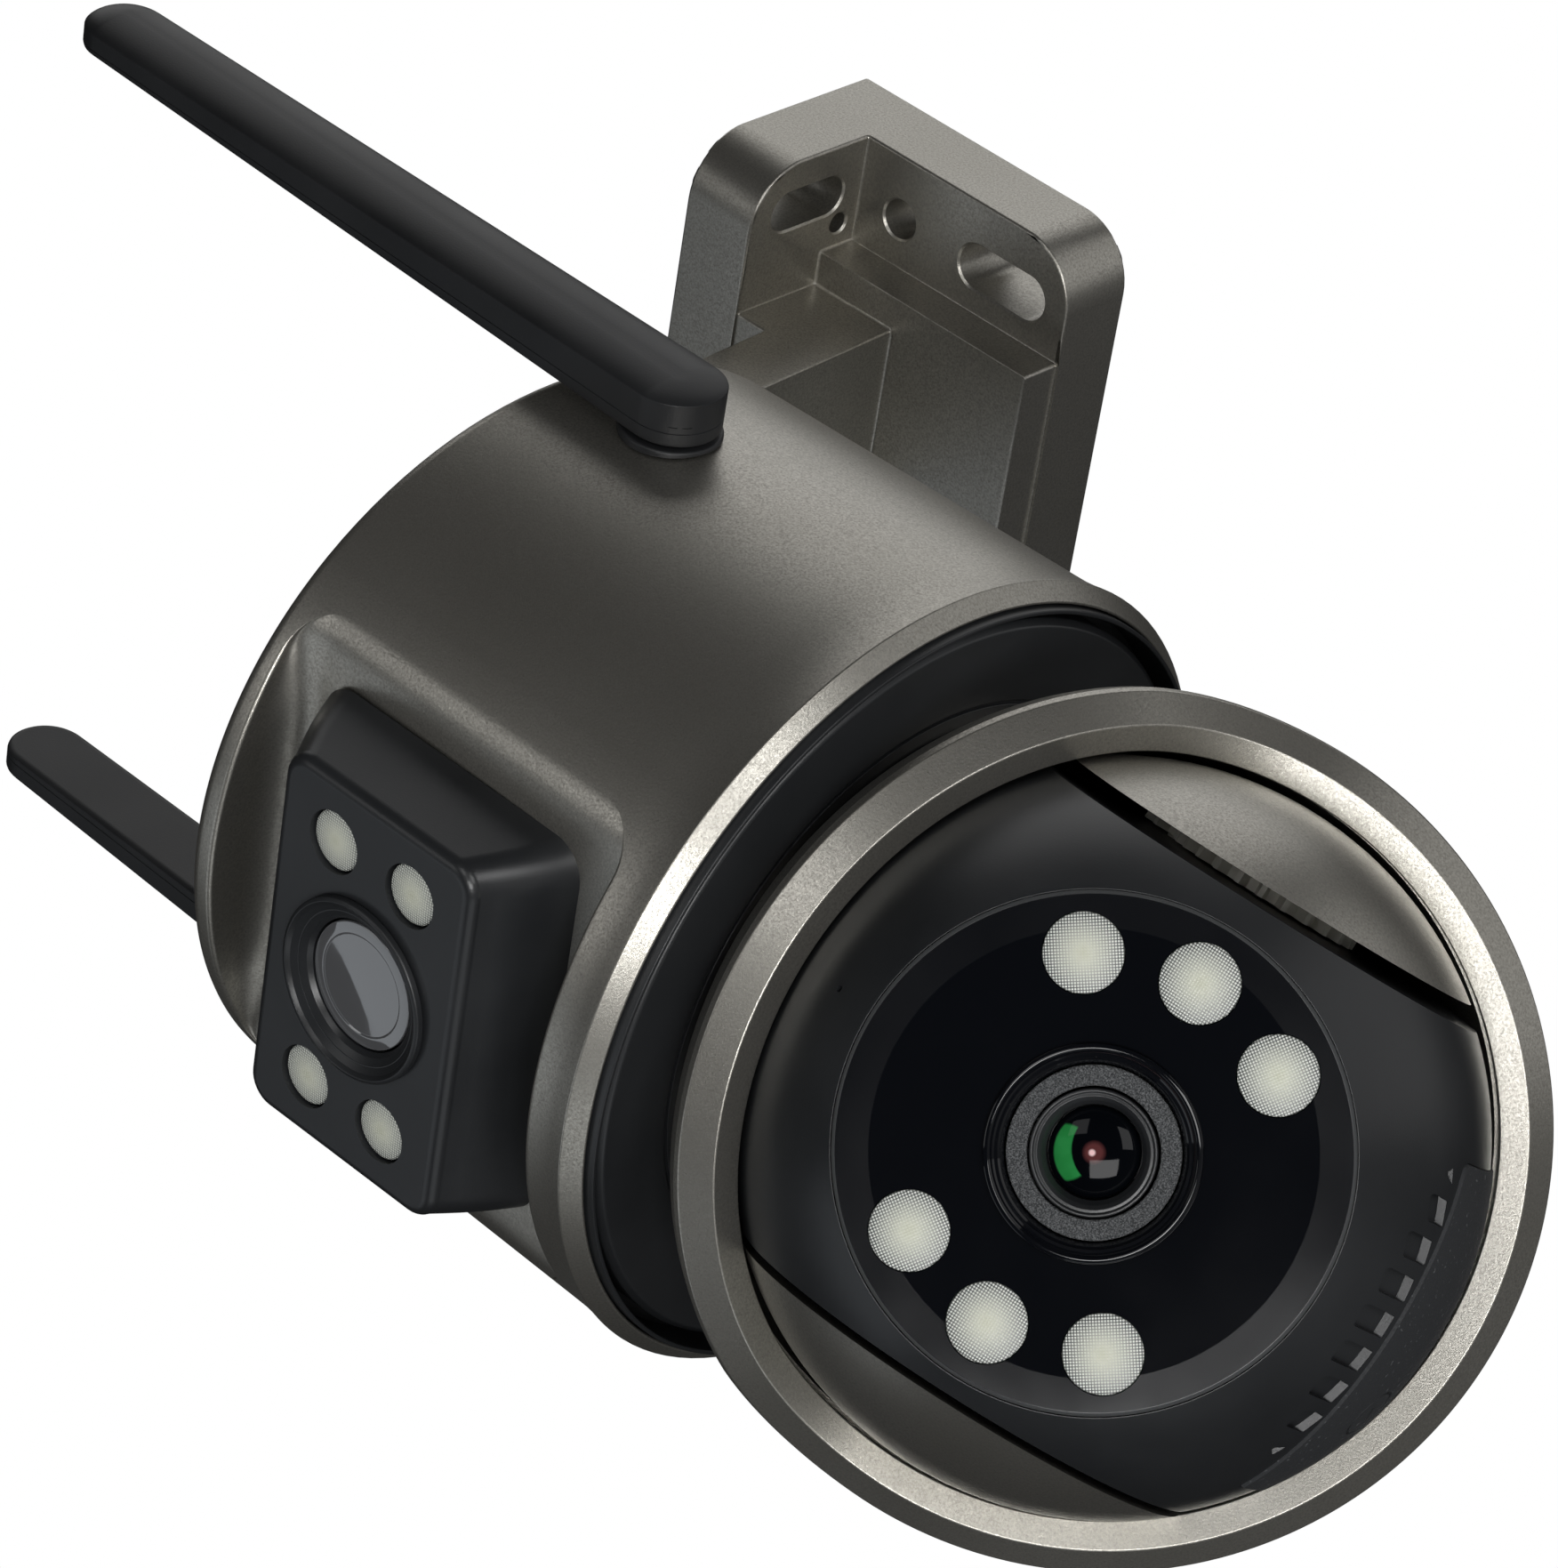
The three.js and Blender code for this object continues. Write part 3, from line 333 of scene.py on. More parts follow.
class Nodes:
    """Short names for building a material's nodes."""

    def __init__(self, name):
        self.material = bpy.data.materials.new(name)
        self.material.use_nodes = True
        self.tree = self.material.node_tree
        self.shader = self.tree.nodes["Principled BSDF"]
        self.place = self.add("ShaderNodeTexCoord").outputs["Object"]

    def add(self, kind, **settings):
        node = self.tree.nodes.new(kind)
        for key, value in settings.items():
            setattr(node, key, value)
        return node

    def link(self, source, target):
        self.tree.links.new(source, target)

    def noise(self, scale, detail=3, roughness=0.5, source=None):
        node = self.add("ShaderNodeTexNoise")
        node.inputs["Scale"].default_value = scale
        node.inputs["Detail"].default_value = detail
        node.inputs["Roughness"].default_value = roughness
        self.link(source or self.place, node.inputs["Vector"])
        return node.outputs["Fac"]

    def remap(self, value, low, high, to_low, to_high):
        node = self.add("ShaderNodeMapRange")
        for name, number in zip(("From Min", "From Max", "To Min", "To Max"), (low, high, to_low, to_high)):
            node.inputs[name].default_value = number
        self.link(value, node.inputs["Value"])
        return node.outputs["Result"]

    def math(self, operation, first, second=None):
        node = self.add("ShaderNodeMath", operation=operation)
        for socket, value in zip(node.inputs, (first, second)):
            if value is None:
                continue
            if isinstance(value, (int, float)):
                socket.default_value = value
            else:
                self.link(value, socket)
        return node.outputs[0]

    def mix(self, factor, first, second):
        node = self.add("ShaderNodeMix", data_type="RGBA")
        self.link(factor, node.inputs["Factor"])
        for socket, value in ((node.inputs[6], first), (node.inputs[7], second)):
            if isinstance(value, tuple):
                socket.default_value = (*value, 1)
            else:
                self.link(value, socket)
        return node.outputs[2]

    def colour(self, source):
        self.link(source, self.shader.inputs["Base Color"])

    def roughness(self, source):
        self.link(source, self.shader.inputs["Roughness"])

    def bump(self, height, strength, distance=0.0001):
        node = self.add("ShaderNodeBump")
        node.inputs["Strength"].default_value = strength
        node.inputs["Distance"].default_value = distance
        self.link(height, node.inputs["Height"])
        if self.shader.inputs["Normal"].is_linked:
            self.link(self.shader.inputs["Normal"].links[0].from_socket, node.inputs["Normal"])
        self.link(node.outputs["Normal"], self.shader.inputs["Normal"])

    def set(self, **values):
        for name, value in values.items():
            self.shader.inputs[name.replace("_", " ")].default_value = value


def metallic_paint():
    """Bronze-grey metallic paint: fine flakes in colour and gloss over a faint mottle."""
    m = Nodes("bronze_metallic_paint")
    flake = m.noise(3000, 4, 0.75)
    mottle = m.noise(45, 4)
    tone = m.mix(m.remap(flake, 0.3, 0.7, 0, 1), (0.27, 0.259, 0.232), (0.56, 0.54, 0.49))
    m.colour(m.mix(m.remap(mottle, 0.35, 0.65, 0, 0.25), tone, (0.32, 0.304, 0.265)))
    m.roughness(m.remap(flake, 0.3, 0.7, 0.44, 0.27))
    m.bump(flake, 0.4, 0.00006)
    m.set(Metallic=0.92)
    return m.material


def plastic(name, colour, low, high, grain, strength, rub=0.1, shine=0.5):
    """Moulded plastic: a spark-eroded grain, uneven gloss and faint handling marks."""
    m = Nodes(name)
    texture = m.noise(grain, 3, 0.6)
    patches = m.noise(38, 5)
    light = tuple(value * (1 + 3 * rub) + 0.004 for value in colour)
    m.colour(m.mix(m.remap(patches, 0.35, 0.7, 0, 1), colour, light))
    m.roughness(m.remap(patches, 0.3, 0.7, low, high))
    m.bump(texture, strength, 0.00005)
    m.set(Specular_IOR_Level=shine)
    return m.material


def black_gloss():
    """Polished black: deep gloss with hairline swirl and a little dust."""
    m = Nodes("black_gloss")
    dust = m.noise(2600, 1)
    smear = m.noise(70, 4)
    m.colour(m.mix(m.remap(dust, 0.74, 0.78, 0, 0.5), (0.003, 0.0035, 0.005), (0.03, 0.03, 0.03)))
    m.roughness(m.remap(smear, 0.3, 0.7, 0.03, 0.09))
    m.bump(smear, 0.02, 0.0001)
    m.set(IOR=1.5)
    return m.material


def face_radius(m, across=0.0, up=0.0):
    """Distance in millimetres from a point of a face that carries face coordinates."""
    flat = m.add("ShaderNodeUVMap", uv_map="face")
    offset = m.add("ShaderNodeVectorMath", operation="SUBTRACT")
    m.link(flat.outputs["UV"], offset.inputs[0])
    offset.inputs[1].default_value = (across, up, 0)
    length = m.add("ShaderNodeVectorMath", operation="LENGTH")
    m.link(offset.outputs[0], length.inputs[0])
    return length.outputs["Value"]


def front_panel():
    """Acrylic panel: black print in the middle, a smoky clear border and a ground edge."""
    m = Nodes("front_panel")
    radius = face_radius(m)
    smear = m.noise(60, 4)
    border = m.remap(radius, 26.5, 26.6, 0, 1)
    edge = m.remap(radius, 30.5, 30.6, 0, 1)
    printed = m.mix(border, (0.0025, 0.003, 0.0045), (0.004, 0.0045, 0.006))
    m.colour(m.mix(edge, printed, (0.075, 0.078, 0.08)))
    gloss = m.remap(smear, 0.3, 0.7, 0.03, 0.07)
    matt = m.math("ADD", m.math("MULTIPLY", border, 0.07), m.math("MULTIPLY", edge, 0.35))
    m.roughness(m.math("ADD", gloss, matt))
    m.bump(smear, 0.02, 0.0001)
    m.set(IOR=1.49)
    return m.material


def lens_painted_reflections():
    """Dark lens with painted reflections: a green crescent painted on one side and a pink highlight painted in the
    middle.
    """
    m = Nodes("lens_painted_reflections")
    # Painted reflection: a green crescent on the left of the lens, fixed in the colour.
    inside = m.remap(face_radius(m), 4.7, 4.9, 1, 0)
    beyond = m.remap(face_radius(m, 1.35, -1.5), 4.6, 4.75, 0, 1)
    level = m.remap(face_radius(m, -1.9, 3.0), 3.2, 3.5, 1, 0)
    green = m.math("MULTIPLY", m.math("MULTIPLY", inside, beyond), level)
    wave = m.noise(500, 2)
    painted_green_reflection = m.mix(wave, (0.01, 0.16, 0.03), (0.03, 0.26, 0.07))
    dark = m.mix(green, (0.0015, 0.002, 0.003), painted_green_reflection)
    # Painted reflection: a pink highlight with a dark brownish ring round it, in the middle of the lens.
    painted_pink_halo = m.remap(face_radius(m), 0.9, 1.5, 1, 0)
    painted_pink_highlight = m.remap(face_radius(m, -0.15, 0.2), 0.25, 0.5, 1, 0)
    m.colour(m.mix(painted_pink_highlight, m.mix(painted_pink_halo, dark, (0.1, 0.03, 0.03)), (0.9, 0.6, 0.6)))
    m.roughness(m.remap(wave, 0.3, 0.7, 0.03, 0.06))
    m.set(IOR=1.5, Specular_IOR_Level=0.08)
    return m.material


def rubber(name, colour):
    """Soft rubber: a matt grain that holds specks of dust."""
    m = Nodes(name)
    grain = m.noise(3400, 3, 0.7)
    dust = m.noise(1500, 2)
    m.colour(m.mix(m.remap(dust, 0.66, 0.74, 0, 1), colour, (0.12, 0.125, 0.13)))
    m.roughness(m.remap(grain, 0.3, 0.7, 0.62, 0.85))
    m.bump(grain, 0.5, 0.00005)
    return m.material


def foam():
    """Grey foam with open cells."""
    m = Nodes("open_cell_foam")
    cells = m.add("ShaderNodeTexVoronoi", feature="F1")
    cells.inputs["Scale"].default_value = 3200
    m.link(m.place, cells.inputs["Vector"])
    speck = m.noise(5200, 2, 0.7)
    m.colour(m.mix(m.remap(speck, 0.42, 0.68, 0, 1), (0.028, 0.03, 0.032), (0.17, 0.175, 0.18)))
    m.roughness(m.remap(speck, 0.3, 0.7, 0.85, 1.0))
    m.bump(cells.outputs["Distance"], 0.9, 0.0002)
    return m.material


def waffle_lens():
    """A light's lens: cream plastic with crossed ribs, drawn in the lens's own millimetres, with painted shade in
    the grooves between the ribs, faint in the middle and darker towards the rim.
    """
    PITCH = 0.36
    m = Nodes("waffle_lens")
    flat = m.add("ShaderNodeUVMap", uv_map="face")
    parts = m.add("ShaderNodeSeparateXYZ")
    m.link(flat.outputs["UV"], parts.inputs["Vector"])
    radius = face_radius(m)
    ribs = []
    for side in ("X", "Y"):
        wave = m.math("SINE", m.math("MULTIPLY", parts.outputs[side], 2 * math.pi / PITCH))
        ribs.append(m.remap(wave, -1, 1, 0, 1))
    depth = m.math("MULTIPLY", ribs[0], ribs[1])
    # Painted shade: the grooves between the ribs are darkened, faintly in the middle and most at the rim.
    rim = m.remap(radius, 1.0, 4.4, 0.12, 1.0)
    shade = m.math("MULTIPLY", m.remap(depth, 0.0, 0.45, 1, 0), rim)
    cream = m.mix(m.remap(radius, 0, 4.5, 0, 1), (0.62, 0.63, 0.5), (0.74, 0.76, 0.71))
    m.colour(m.mix(shade, cream, (0.04, 0.045, 0.045)))
    m.roughness(m.remap(depth, 0, 1, 0.3, 0.12))
    m.bump(depth, 0.35, 0.00008)
    m.set(IOR=1.45)
    return m.material


def lens_glass(name, tint, deep):
    """Coated lens glass over a dark barrel, with a painted sheen: its colour is the deep one where it faces the
    view and turns to the tint one at grazing angles.
    """
    m = Nodes(name)
    facing = m.add("ShaderNodeLayerWeight")
    facing.inputs["Blend"].default_value = 0.35
    smear = m.noise(300, 3)
    # Painted sheen: the base colour shifts from deep to tint towards grazing angles, standing in for the coating's
    # reflection.
    m.colour(m.mix(facing.outputs["Facing"], deep, tint))
    m.roughness(m.remap(smear, 0.3, 0.7, 0.02, 0.06))
    m.set(IOR=1.6, Coat_Weight=1.0, Coat_Roughness=0.02, Coat_IOR=1.9)
    return m.material


def metal(name, colour, roughness, streak):
    """Bare metal with a fine brushed unevenness."""
    m = Nodes(name)
    brushed = m.noise(streak, 4, 0.6)
    m.colour(m.mix(m.remap(brushed, 0.3, 0.7, 0, 1), colour, tuple(0.75 * c for c in colour)))
    m.roughness(m.remap(brushed, 0.3, 0.7, roughness, roughness + 0.15))
    m.bump(brushed, 0.2, 0.00005)
    m.set(Metallic=1.0)
    return m.material


def circuit_board():
    """Green solder mask over a pattern of copper areas."""
    m = Nodes("solder_mask")
    tracks = m.add("ShaderNodeTexBrick")
    tracks.inputs["Scale"].default_value = 320
    tracks.inputs["Mortar Size"].default_value = 0.08
    m.link(m.place, tracks.inputs["Vector"])
    m.colour(m.mix(tracks.outputs["Fac"], (0.012, 0.075, 0.03), (0.03, 0.16, 0.07)))
    m.roughness(m.remap(m.noise(200), 0.3, 0.7, 0.3, 0.45))
    m.bump(tracks.outputs["Fac"], 0.3, 0.0001)
    return m.material


MATERIALS = {
    "bronze": metallic_paint(),
    "black_satin": plastic("black_satin", (0.0135, 0.0145, 0.016), 0.3, 0.4, 4200, 0.22),
    "black_gloss": black_gloss(),
    "antenna_black": plastic("antenna_black", (0.010, 0.0105, 0.0115), 0.4, 0.5, 3600, 0.3, shine=0.4),
    "rubber": rubber("dark_rubber", (0.022, 0.0235, 0.026)),
    "foam": foam(),
    "led_lens": waffle_lens(),
    "clear_glass": lens_glass("coated_glass", (0.02, 0.06, 0.035), (0.002, 0.003, 0.003)),
    "steel": metal("steel", (0.55, 0.56, 0.57), 0.28, 900),
    "brass": metal("brass", (0.72, 0.52, 0.24), 0.3, 900),
    "nylon": plastic("nylon", (0.62, 0.6, 0.53), 0.4, 0.5, 2600, 0.15),
    "circuit_board": circuit_board(),
    "alloy": metal("alloy", (0.6, 0.61, 0.62), 0.35, 1400),
}
FRONT_PANEL = front_panel()
# A lens material whose colour carries a painted green crescent and a painted pink highlight as reflections.
LENS_PAINTED_REFLECTIONS = lens_painted_reflections()
SMOKED_GLASS = lens_glass("smoked_glass", (0.16, 0.16, 0.165), (0.07, 0.072, 0.076))


def finish_piece(obj, name, slot, body, *nodes, material=None, sharp=32):
    """Names a fine piece, gives it its finish and lets it stand for its CAD nodes."""
    obj.name = name
    obj.data.name = name
    obj.data.materials.clear()
    obj.data.materials.append(material or MATERIALS[slot])
    for polygon in obj.data.polygons:
        polygon.material_index = 0
    obj.data.shade_smooth()
    obj.data.set_sharp_from_angle(angle=math.radians(sharp))
    weighted = obj.modifiers.new("normals", "WEIGHTED_NORMAL")
    weighted.keep_sharp = True
    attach(obj, body)
    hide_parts(*nodes)
    return obj


# ---------------------------------------------------------------- bracket


def wall_bracket():
    """A wall plate and a ceiling plate in one moulding, with the arm and neck that carry the body."""
    HALF = 36
    BACK = 118.1
    FRONT = 105.6
    FORE = 83
    UNDER = 115.1
    TOP = 127.6
    LOW = 74.4
    CORNER = 9.5
    FAR = 140
    wall_side = AHEAD @ move(0, 0, -BACK)
    corner_shape = [
        (BACK, TOP), (BACK, LOW - 5), (FRONT, LOW - 5), (FRONT, UNDER), (FORE - 5, UNDER), (FORE - 5, TOP),
    ]
    bracket = sideways(corner_shape, HALF + 4)
    wall_outline = rounded([
        (HALF, FAR), (-HALF, FAR), (-HALF, LOW, CORNER), (HALF, LOW, CORNER),
    ], steps=12)
    wide = HALF + 0.01
    ceiling_outline = rounded([
        (wide, FAR), (-wide, FAR), (-wide, FORE, CORNER), (wide, FORE, CORNER),
    ], steps=12)
    keep(bracket, prism(wall_outline, -40, 60, BODY @ wall_side))
    keep(bracket, prism(ceiling_outline, 60, FAR, BODY))
    join(bracket, block((-18.9, 99, LOW + 0.02), (18.9, FRONT + 3, UNDER + 3), BODY), arm(), neck())
    soften(bracket, 0.45, 4, 40)
    tools = []
    for side in (-1, 1):
        tools.append(screw_slot(side * 26.2, 104, 110, 6, 0, BACK - FRONT, BODY @ wall_side))
        tools.append(screw_slot(side * 26, 78.6, 95.1, 7, 0, BACK - FRONT, BODY @ wall_side))
        tools.append(screw_slot(side * 28, 87.5, 102, 6.3, UNDER, TOP, BODY))
        tools.append(screw_slot(side * 22.7, 100.4, 103.6, 3.2, UNDER, TOP, BODY))
    cut(bracket, *tools)
    finish_piece(bracket, "fine_wall_bracket", "bronze", "mount", "wall_bracket")


def screw_slot(x, low, high, width, start, end, place):
    """A hole or slot through a plate, with a small chamfer at both faces."""
    EDGE = 0.3
    steps = (
        (start - 1, EDGE), (start, EDGE), (start + EDGE, 0),
        (end - EDGE, 0), (end, EDGE), (end + 1, EDGE),
    )
    rings = []
    for depth, grow in steps:
        outline = slot_outline(x, low - grow, high + grow, width + 2 * grow)
        rings.append([(across, up, depth) for across, up in outline])
    return loft(rings, place)


def sideways(outline, half):
    """A side outline in Y and Z, as thick as twice half across X."""
    return prism(outline, -half, half, BODY @ turn("Z", 90) @ turn("X", 90))


def arm():
    HALF = 13.6
    BEND = 14
    outline = rounded([
        (106.5, 100), (106.5, 116), (83.2, 116), (83.2, 109.8), (24, 107, BEND), (24, 92), (52, 92),
        (52, 97.8, 6),
    ], steps=10)
    return sideways(outline, HALF)


def neck():
    column = prism(box_outline(13, 24.02, 51.98, 5), 60, 94, BODY)
    lean = math.degrees(-math.atan(TOP_SLOPE))
    below_top = BODY @ move(0, 0, BODY_TOP + 1.6) @ turn("X", lean)
    return cut(column, block((-80, -80, -60), (80, 80, 0), below_top))


# ---------------------------------------------------------------- body


def body_radius(z):
    flare = max(0.0, 1 - (z - 2.8) / 5.5)
    return BODY_RADIUS - BODY_TAPER * z + 0.52 * flare ** 2


def top_height(y):
    return BODY_TOP - TOP_SLOPE * y


def arc_points(steps, first=False):
    """Sine and cosine pairs over a quarter turn."""
    start = 0 if first else 1
    angles = [math.pi / 2 * step / steps for step in range(start, steps + 1)]
    return [(math.sin(angle), math.cos(angle)) for angle in angles]


def body_column(theta):
    """One upright line of the shell's surface, from the mouth round the outside to the top."""
    sine, cosine = math.sin(theta), math.cos(theta)

    def wall(z, inset=0.0, radius=None):
        r = body_radius(z) if radius is None else radius
        return (r * sine, -r * cosine + inset, z)

    inner_radius = 52.4
    inner_y = max(-inner_radius * cosine, INNER_FRONT)
    inner_x = inner_radius * sine
    column = [(inner_x, inner_y, top_height(inner_y) - 3), (inner_x, inner_y, 6.4), wall(6.4, radius=54.1)]
    mouth = rounded([(54.1, 6.4), (54.1, 0, 0.3), (56.42, 2.7, 0.35), (56.2, 4.4)], False, 4)
    for radius, z in mouth[1:-1]:
        column.append(wall(z, radius=radius))

    middle = body_radius(40)
    x = abs(middle * sine)
    in_front = cosine > 0 and x < RECESS_HALF
    surface_y = -middle * cosine
    sharpness = 0.9
    rise = (RECESS_FLOOR - surface_y) / sharpness
    depth = sharpness * math.log1p(math.exp(rise)) if in_front else 0.0
    fade = max(0.0, min(1.0, (RECESS_HALF - x) / 1.5))
    depth *= fade * fade * (3 - 2 * fade)
    beyond = max(0.0, x - (RECESS_HALF - RECESS_CORNER))
    corner = RECESS_CORNER - math.sqrt(max(0.0, RECESS_CORNER ** 2 - min(beyond, RECESS_CORNER) ** 2))
    low = RECESS_LOW + corner
    high = RECESS_HIGH - corner

    for step in range(5):
        column.append(wall(4.6 + (low - 0.8 - 4.6) * step / 4))
    lip = min(0.5, depth / 3)
    hollow = min(2.0, depth / 3)
    for up, along in arc_points(4, True):
        column.append(wall(low - lip + lip * up, lip * (1 - along)))
    for up, along in arc_points(5, True):
        column.append(wall(low + hollow * (1 - along), depth - hollow + hollow * up))
    scoop = min(5.5, depth * 0.75)
    scoop_high = 5.5
    for step in range(1, 9):
        start = low + hollow
        column.append(wall(start + (high - scoop_high - start) * step / 8, depth))
    for up, along in arc_points(9):
        column.append(wall(high - scoop_high + scoop_high * up, depth - scoop * (1 - along)))
    ridge = min(0.7, depth / 5)
    for up, along in arc_points(4, True):
        column.append(wall(high + ridge * (1 - along), ridge * (1 - up)))
    edge = 2.0
    top = top_height(-body_radius(70) * cosine)
    for up, along in arc_points(6, True):
        z = top - edge + edge * up
        column.append(wall(z, radius=body_radius(z) - edge * (1 - along)))
    return column


def body_shell():
    FRONT_STEPS = 124
    BACK_STEPS = 92
    reach = math.radians(46)
    angles = [reach * (2 * step / FRONT_STEPS - 1) for step in range(FRONT_STEPS)]
    angles += [reach + (2 * math.pi - 2 * reach) * step / BACK_STEPS for step in range(BACK_STEPS)]
    columns = [body_column(angle) for angle in angles]
    rows = len(columns[0])
    points = [column[row] for row in range(rows) for column in columns]
    count = len(columns)
    rings = [list(range(row * count, (row + 1) * count)) for row in range(rows)]
    faces = []
    for first, second in zip(rings, rings[1:]):
        faces += bridge(first, second)
    points += [(0, 0, top_height(0) - 3), (0, 0, top_height(0))]
    faces += bridge([len(points) - 2], rings[0])
    faces += bridge(rings[-1], [len(points) - 1])
    shell = solid(points, faces, BODY)
    tidy_mesh(shell, 2e-6)
    tools = [
        rod(4.3, 40, 70, BODY @ move(0, HUB_Y, HUB_Z) @ RIGHTWARDS, 64),
        rod(4.3, -70, -40, BODY @ move(0, HUB_Y, HUB_Z) @ RIGHTWARDS, 64),
        rod(5.3, -70, -40, BODY @ move(0, 0, GLAND_Z) @ AHEAD, 64),
        block((-21, -50, 26), (21, -40, 52), BODY),
    ]
    tools += [rod(1.8, 60, 80, BODY @ move(x, y, 0), 32) for x, y in SCREWS]
    cut(shell, *tools)
    finish_piece(shell, "fine_body_shell", "bronze", "mount", "body_shell", sharp=40)


def base_cover():
    profile = rounded([
        (53.3, -0.7, 0.2), (53.9, -0.7, 0.2), (53.9, 5.9), (52.2, 5.9), (52.2, DECK_HIGH), (13.4, DECK_HIGH),
        (13.4, DECK_LOW), (50, DECK_LOW), (50, 5.4), (53.3, 5.4),
    ], steps=3)
    cover = lathe(profile, BODY, 192)
    cut(cover, block((-60, -60, 5.95), (60, INNER_FRONT + GAP, 30), BODY),
        rod(4, 10, 30, BODY @ move(-PAN_SPACING, 0, 0), 48))
    finish_piece(cover, "fine_base_cover", "black_satin", "mount", "base_cover")


def body_solid(grow):
    """A plain round body, for cutting the seats of pieces that lie on it."""
    profile = [(0, 3), (body_radius(3) + grow, 3), (body_radius(72) + grow, 72), (0, 72)]
    return lathe(profile, BODY, 192)


def cable_gland():
    place = BODY @ move(0, 0, GLAND_Z) @ AHEAD
    flange = cut(rod(7.5, -58, -50, place), body_solid(0.15))
    gland = join(flange, rod(5, -56.5, -47, place))
    cut(gland, rod(2.6, -60, -40, place))
    soften(gland, 0.4, 3, 40)
    finish_piece(gland, "fine_cable_gland", "rubber", "mount", "cable_gland")


# ---------------------------------------------------------------- fixed camera module


def module_section(y, half, low, high, radius):
    return [(x, y, z) for x, z in box_outline(half, low, high, radius, 8)]


def module_housing():
    seat = RECESS_FLOOR - GAP
    edge = 1.7
    front = MODULE_FACE + edge
    sections = [module_section(seat, 28.3, 16.5, 63, 5)]
    for step in range(1, 6):
        t = step / 6
        bulge = 0.35 * math.sin(math.pi * t)
        low = 16.5 + 5.2 * t - bulge
        high = 63 - 6.9 * t + bulge
        sections.append(module_section(seat + (front - seat) * t, 28.3 - 1.2 * t, low, high, 5 - 0.8 * t))
    for up, along in arc_points(7, True):
        inset = edge * (1 - along)
        sections.append(module_section(
            front - edge * up, 27.1 - inset, 21.7 + inset, 56.1 - inset, 4.2 - inset))
    housing = loft(sections, BODY)
    inner = loft([
        module_section(seat + 1, 26.3, 18.6, 60.4, 4), module_section(MODULE_FACE + 2.2, 25, 23.8, 53.8, 3),
    ], BODY)
    tools = [rod(10.6, 40, 70, BODY @ move(0, 0, MODULE_LENS_Z) @ AHEAD, 128)]
    for x, z in MODULE_LEDS:
        tools.append(rod(MODULE_LED_RADIUS + 0.25, 50, 70, BODY @ move(x, 0, z) @ AHEAD, 96))
    cut(housing, inner, *tools)
    finish_piece(housing, "fine_module_housing", "black_satin", "mount", "module_housing")


def module_lens():
    place = BODY @ move(0, 0, MODULE_LENS_Z) @ AHEAD
    face = -MODULE_FACE
    ring = lathe(rounded([
        (8.9, face - 0.9, 0.1), (9.4, face - 0.3, 0.15), (11.3, face + 0.8, 0.3), (11.8, face + 1.35, 0.2),
        (12.4, face + 1.1, 0.3), (12.4, face + GAP), (10.3, face + GAP), (10.3, face - 5), (8.9, face - 5),
    ], steps=4), place)
    finish_piece(ring, "fine_module_lens_ring", "black_gloss", "mount", "module_lens_ring",
                 material=MATERIALS["black_satin"])
    glass = lathe(rounded([
        (0, face - 1.9), (8.6, face - 1.9), (8.6, face - 0.9, 0.15), (7.0, face - 0.8, 0.2),
        (6.8, face - 0.95, 0.1), (4.5, face - 0.9), (2.2, face - 0.85), (0, face - 0.84),
    ], False, 3), place)
    finish_piece(glass, "fine_module_lens_glass", "clear_glass", "mount", "module_lens_glass",
                 material=SMOKED_GLASS)


def light_lens(radius, base, front, crown, place):
    """A light's lens: a low dome whose face carries its own millimetres as UV."""
    rings = 14
    dome = [(radius * step / rings, front + crown * (1 - (step / rings) ** 2)) for step in range(rings)]
    profile = [(0, base), (radius, base), (radius, front - 0.12), (radius - 0.12, front)]
    lens = lathe(profile + dome[::-1], place, 72)
    face_coordinates(lens, place)
    return lens


def face_coordinates(obj, place):
    """UV coordinates that are the millimetres across and up the face of a piece."""
    back = place.inverted()
    layer = obj.data.uv_layers.new(name="face")
    for loop in obj.data.loops:
        point = back @ obj.data.vertices[loop.vertex_index].co
        layer.data[loop.index].uv = (point.x, point.y)


def module_light_lenses():
    for i, (x, z) in enumerate(MODULE_LEDS, 1):
        place = BODY @ move(x, 0, z) @ AHEAD
        front = -MODULE_FACE - 0.7
        lens = light_lens(MODULE_LED_RADIUS, front - 2.7, front, 0.3, place)
        finish_piece(lens, f"fine_module_led_lens_{i}", "led_lens", "mount", f"module_led_lens_{i}")


# ---------------------------------------------------------------- antennas


def paddle_section(inset, depth_at):
    """The paddle's outline, inset from its edge, at the depths that depth_at gives."""
    STEPS = 24
    ring = []
    for centre, half, start in (
        (PADDLE_LENGTH - PADDLE_HALF_TIP, PADDLE_HALF_TIP, 0), (0, PADDLE_HALF_BASE, math.pi),
    ):
        for step in range(STEPS + 1):
            angle = start + math.pi * step / STEPS
            y = (half - inset) * math.cos(angle)
            z = centre + (half - inset) * math.sin(angle)
            ring.append((depth_at(z / PADDLE_LENGTH, half), y, z))
    return ring


def paddle_inner(along):
    return -2.5 + 0.5 * along


def paddle_crease(along):
    return 3.7 - 2.6 * along


def paddle_crown(along):
    return 4.8 - 1.6 * along


def dome_share(half, inset):
    """How much of the dome's height is reached at a distance from the edge."""
    FLATNESS = 0.9
    at_edge = math.sqrt(1 - FLATNESS)
    here = math.sqrt(1 - FLATNESS * ((half - inset) / half) ** 2)
    return (here - at_edge) / (1 - at_edge)


def dome_section(inset):
    def depth_at(along, half):
        low = paddle_crease(along)
        return low + (paddle_crown(along) - low) * dome_share(half, inset)
    return paddle_section(inset, depth_at)


def wall_section(rise, inset, share=0):
    """A ring on the side wall: a rise above the inner face, or a share of the way to the crease."""
    def depth_at(along, _half):
        low = paddle_inner(along)
        return low + rise + share * (paddle_crease(along) - low)
    return paddle_section(inset, depth_at)


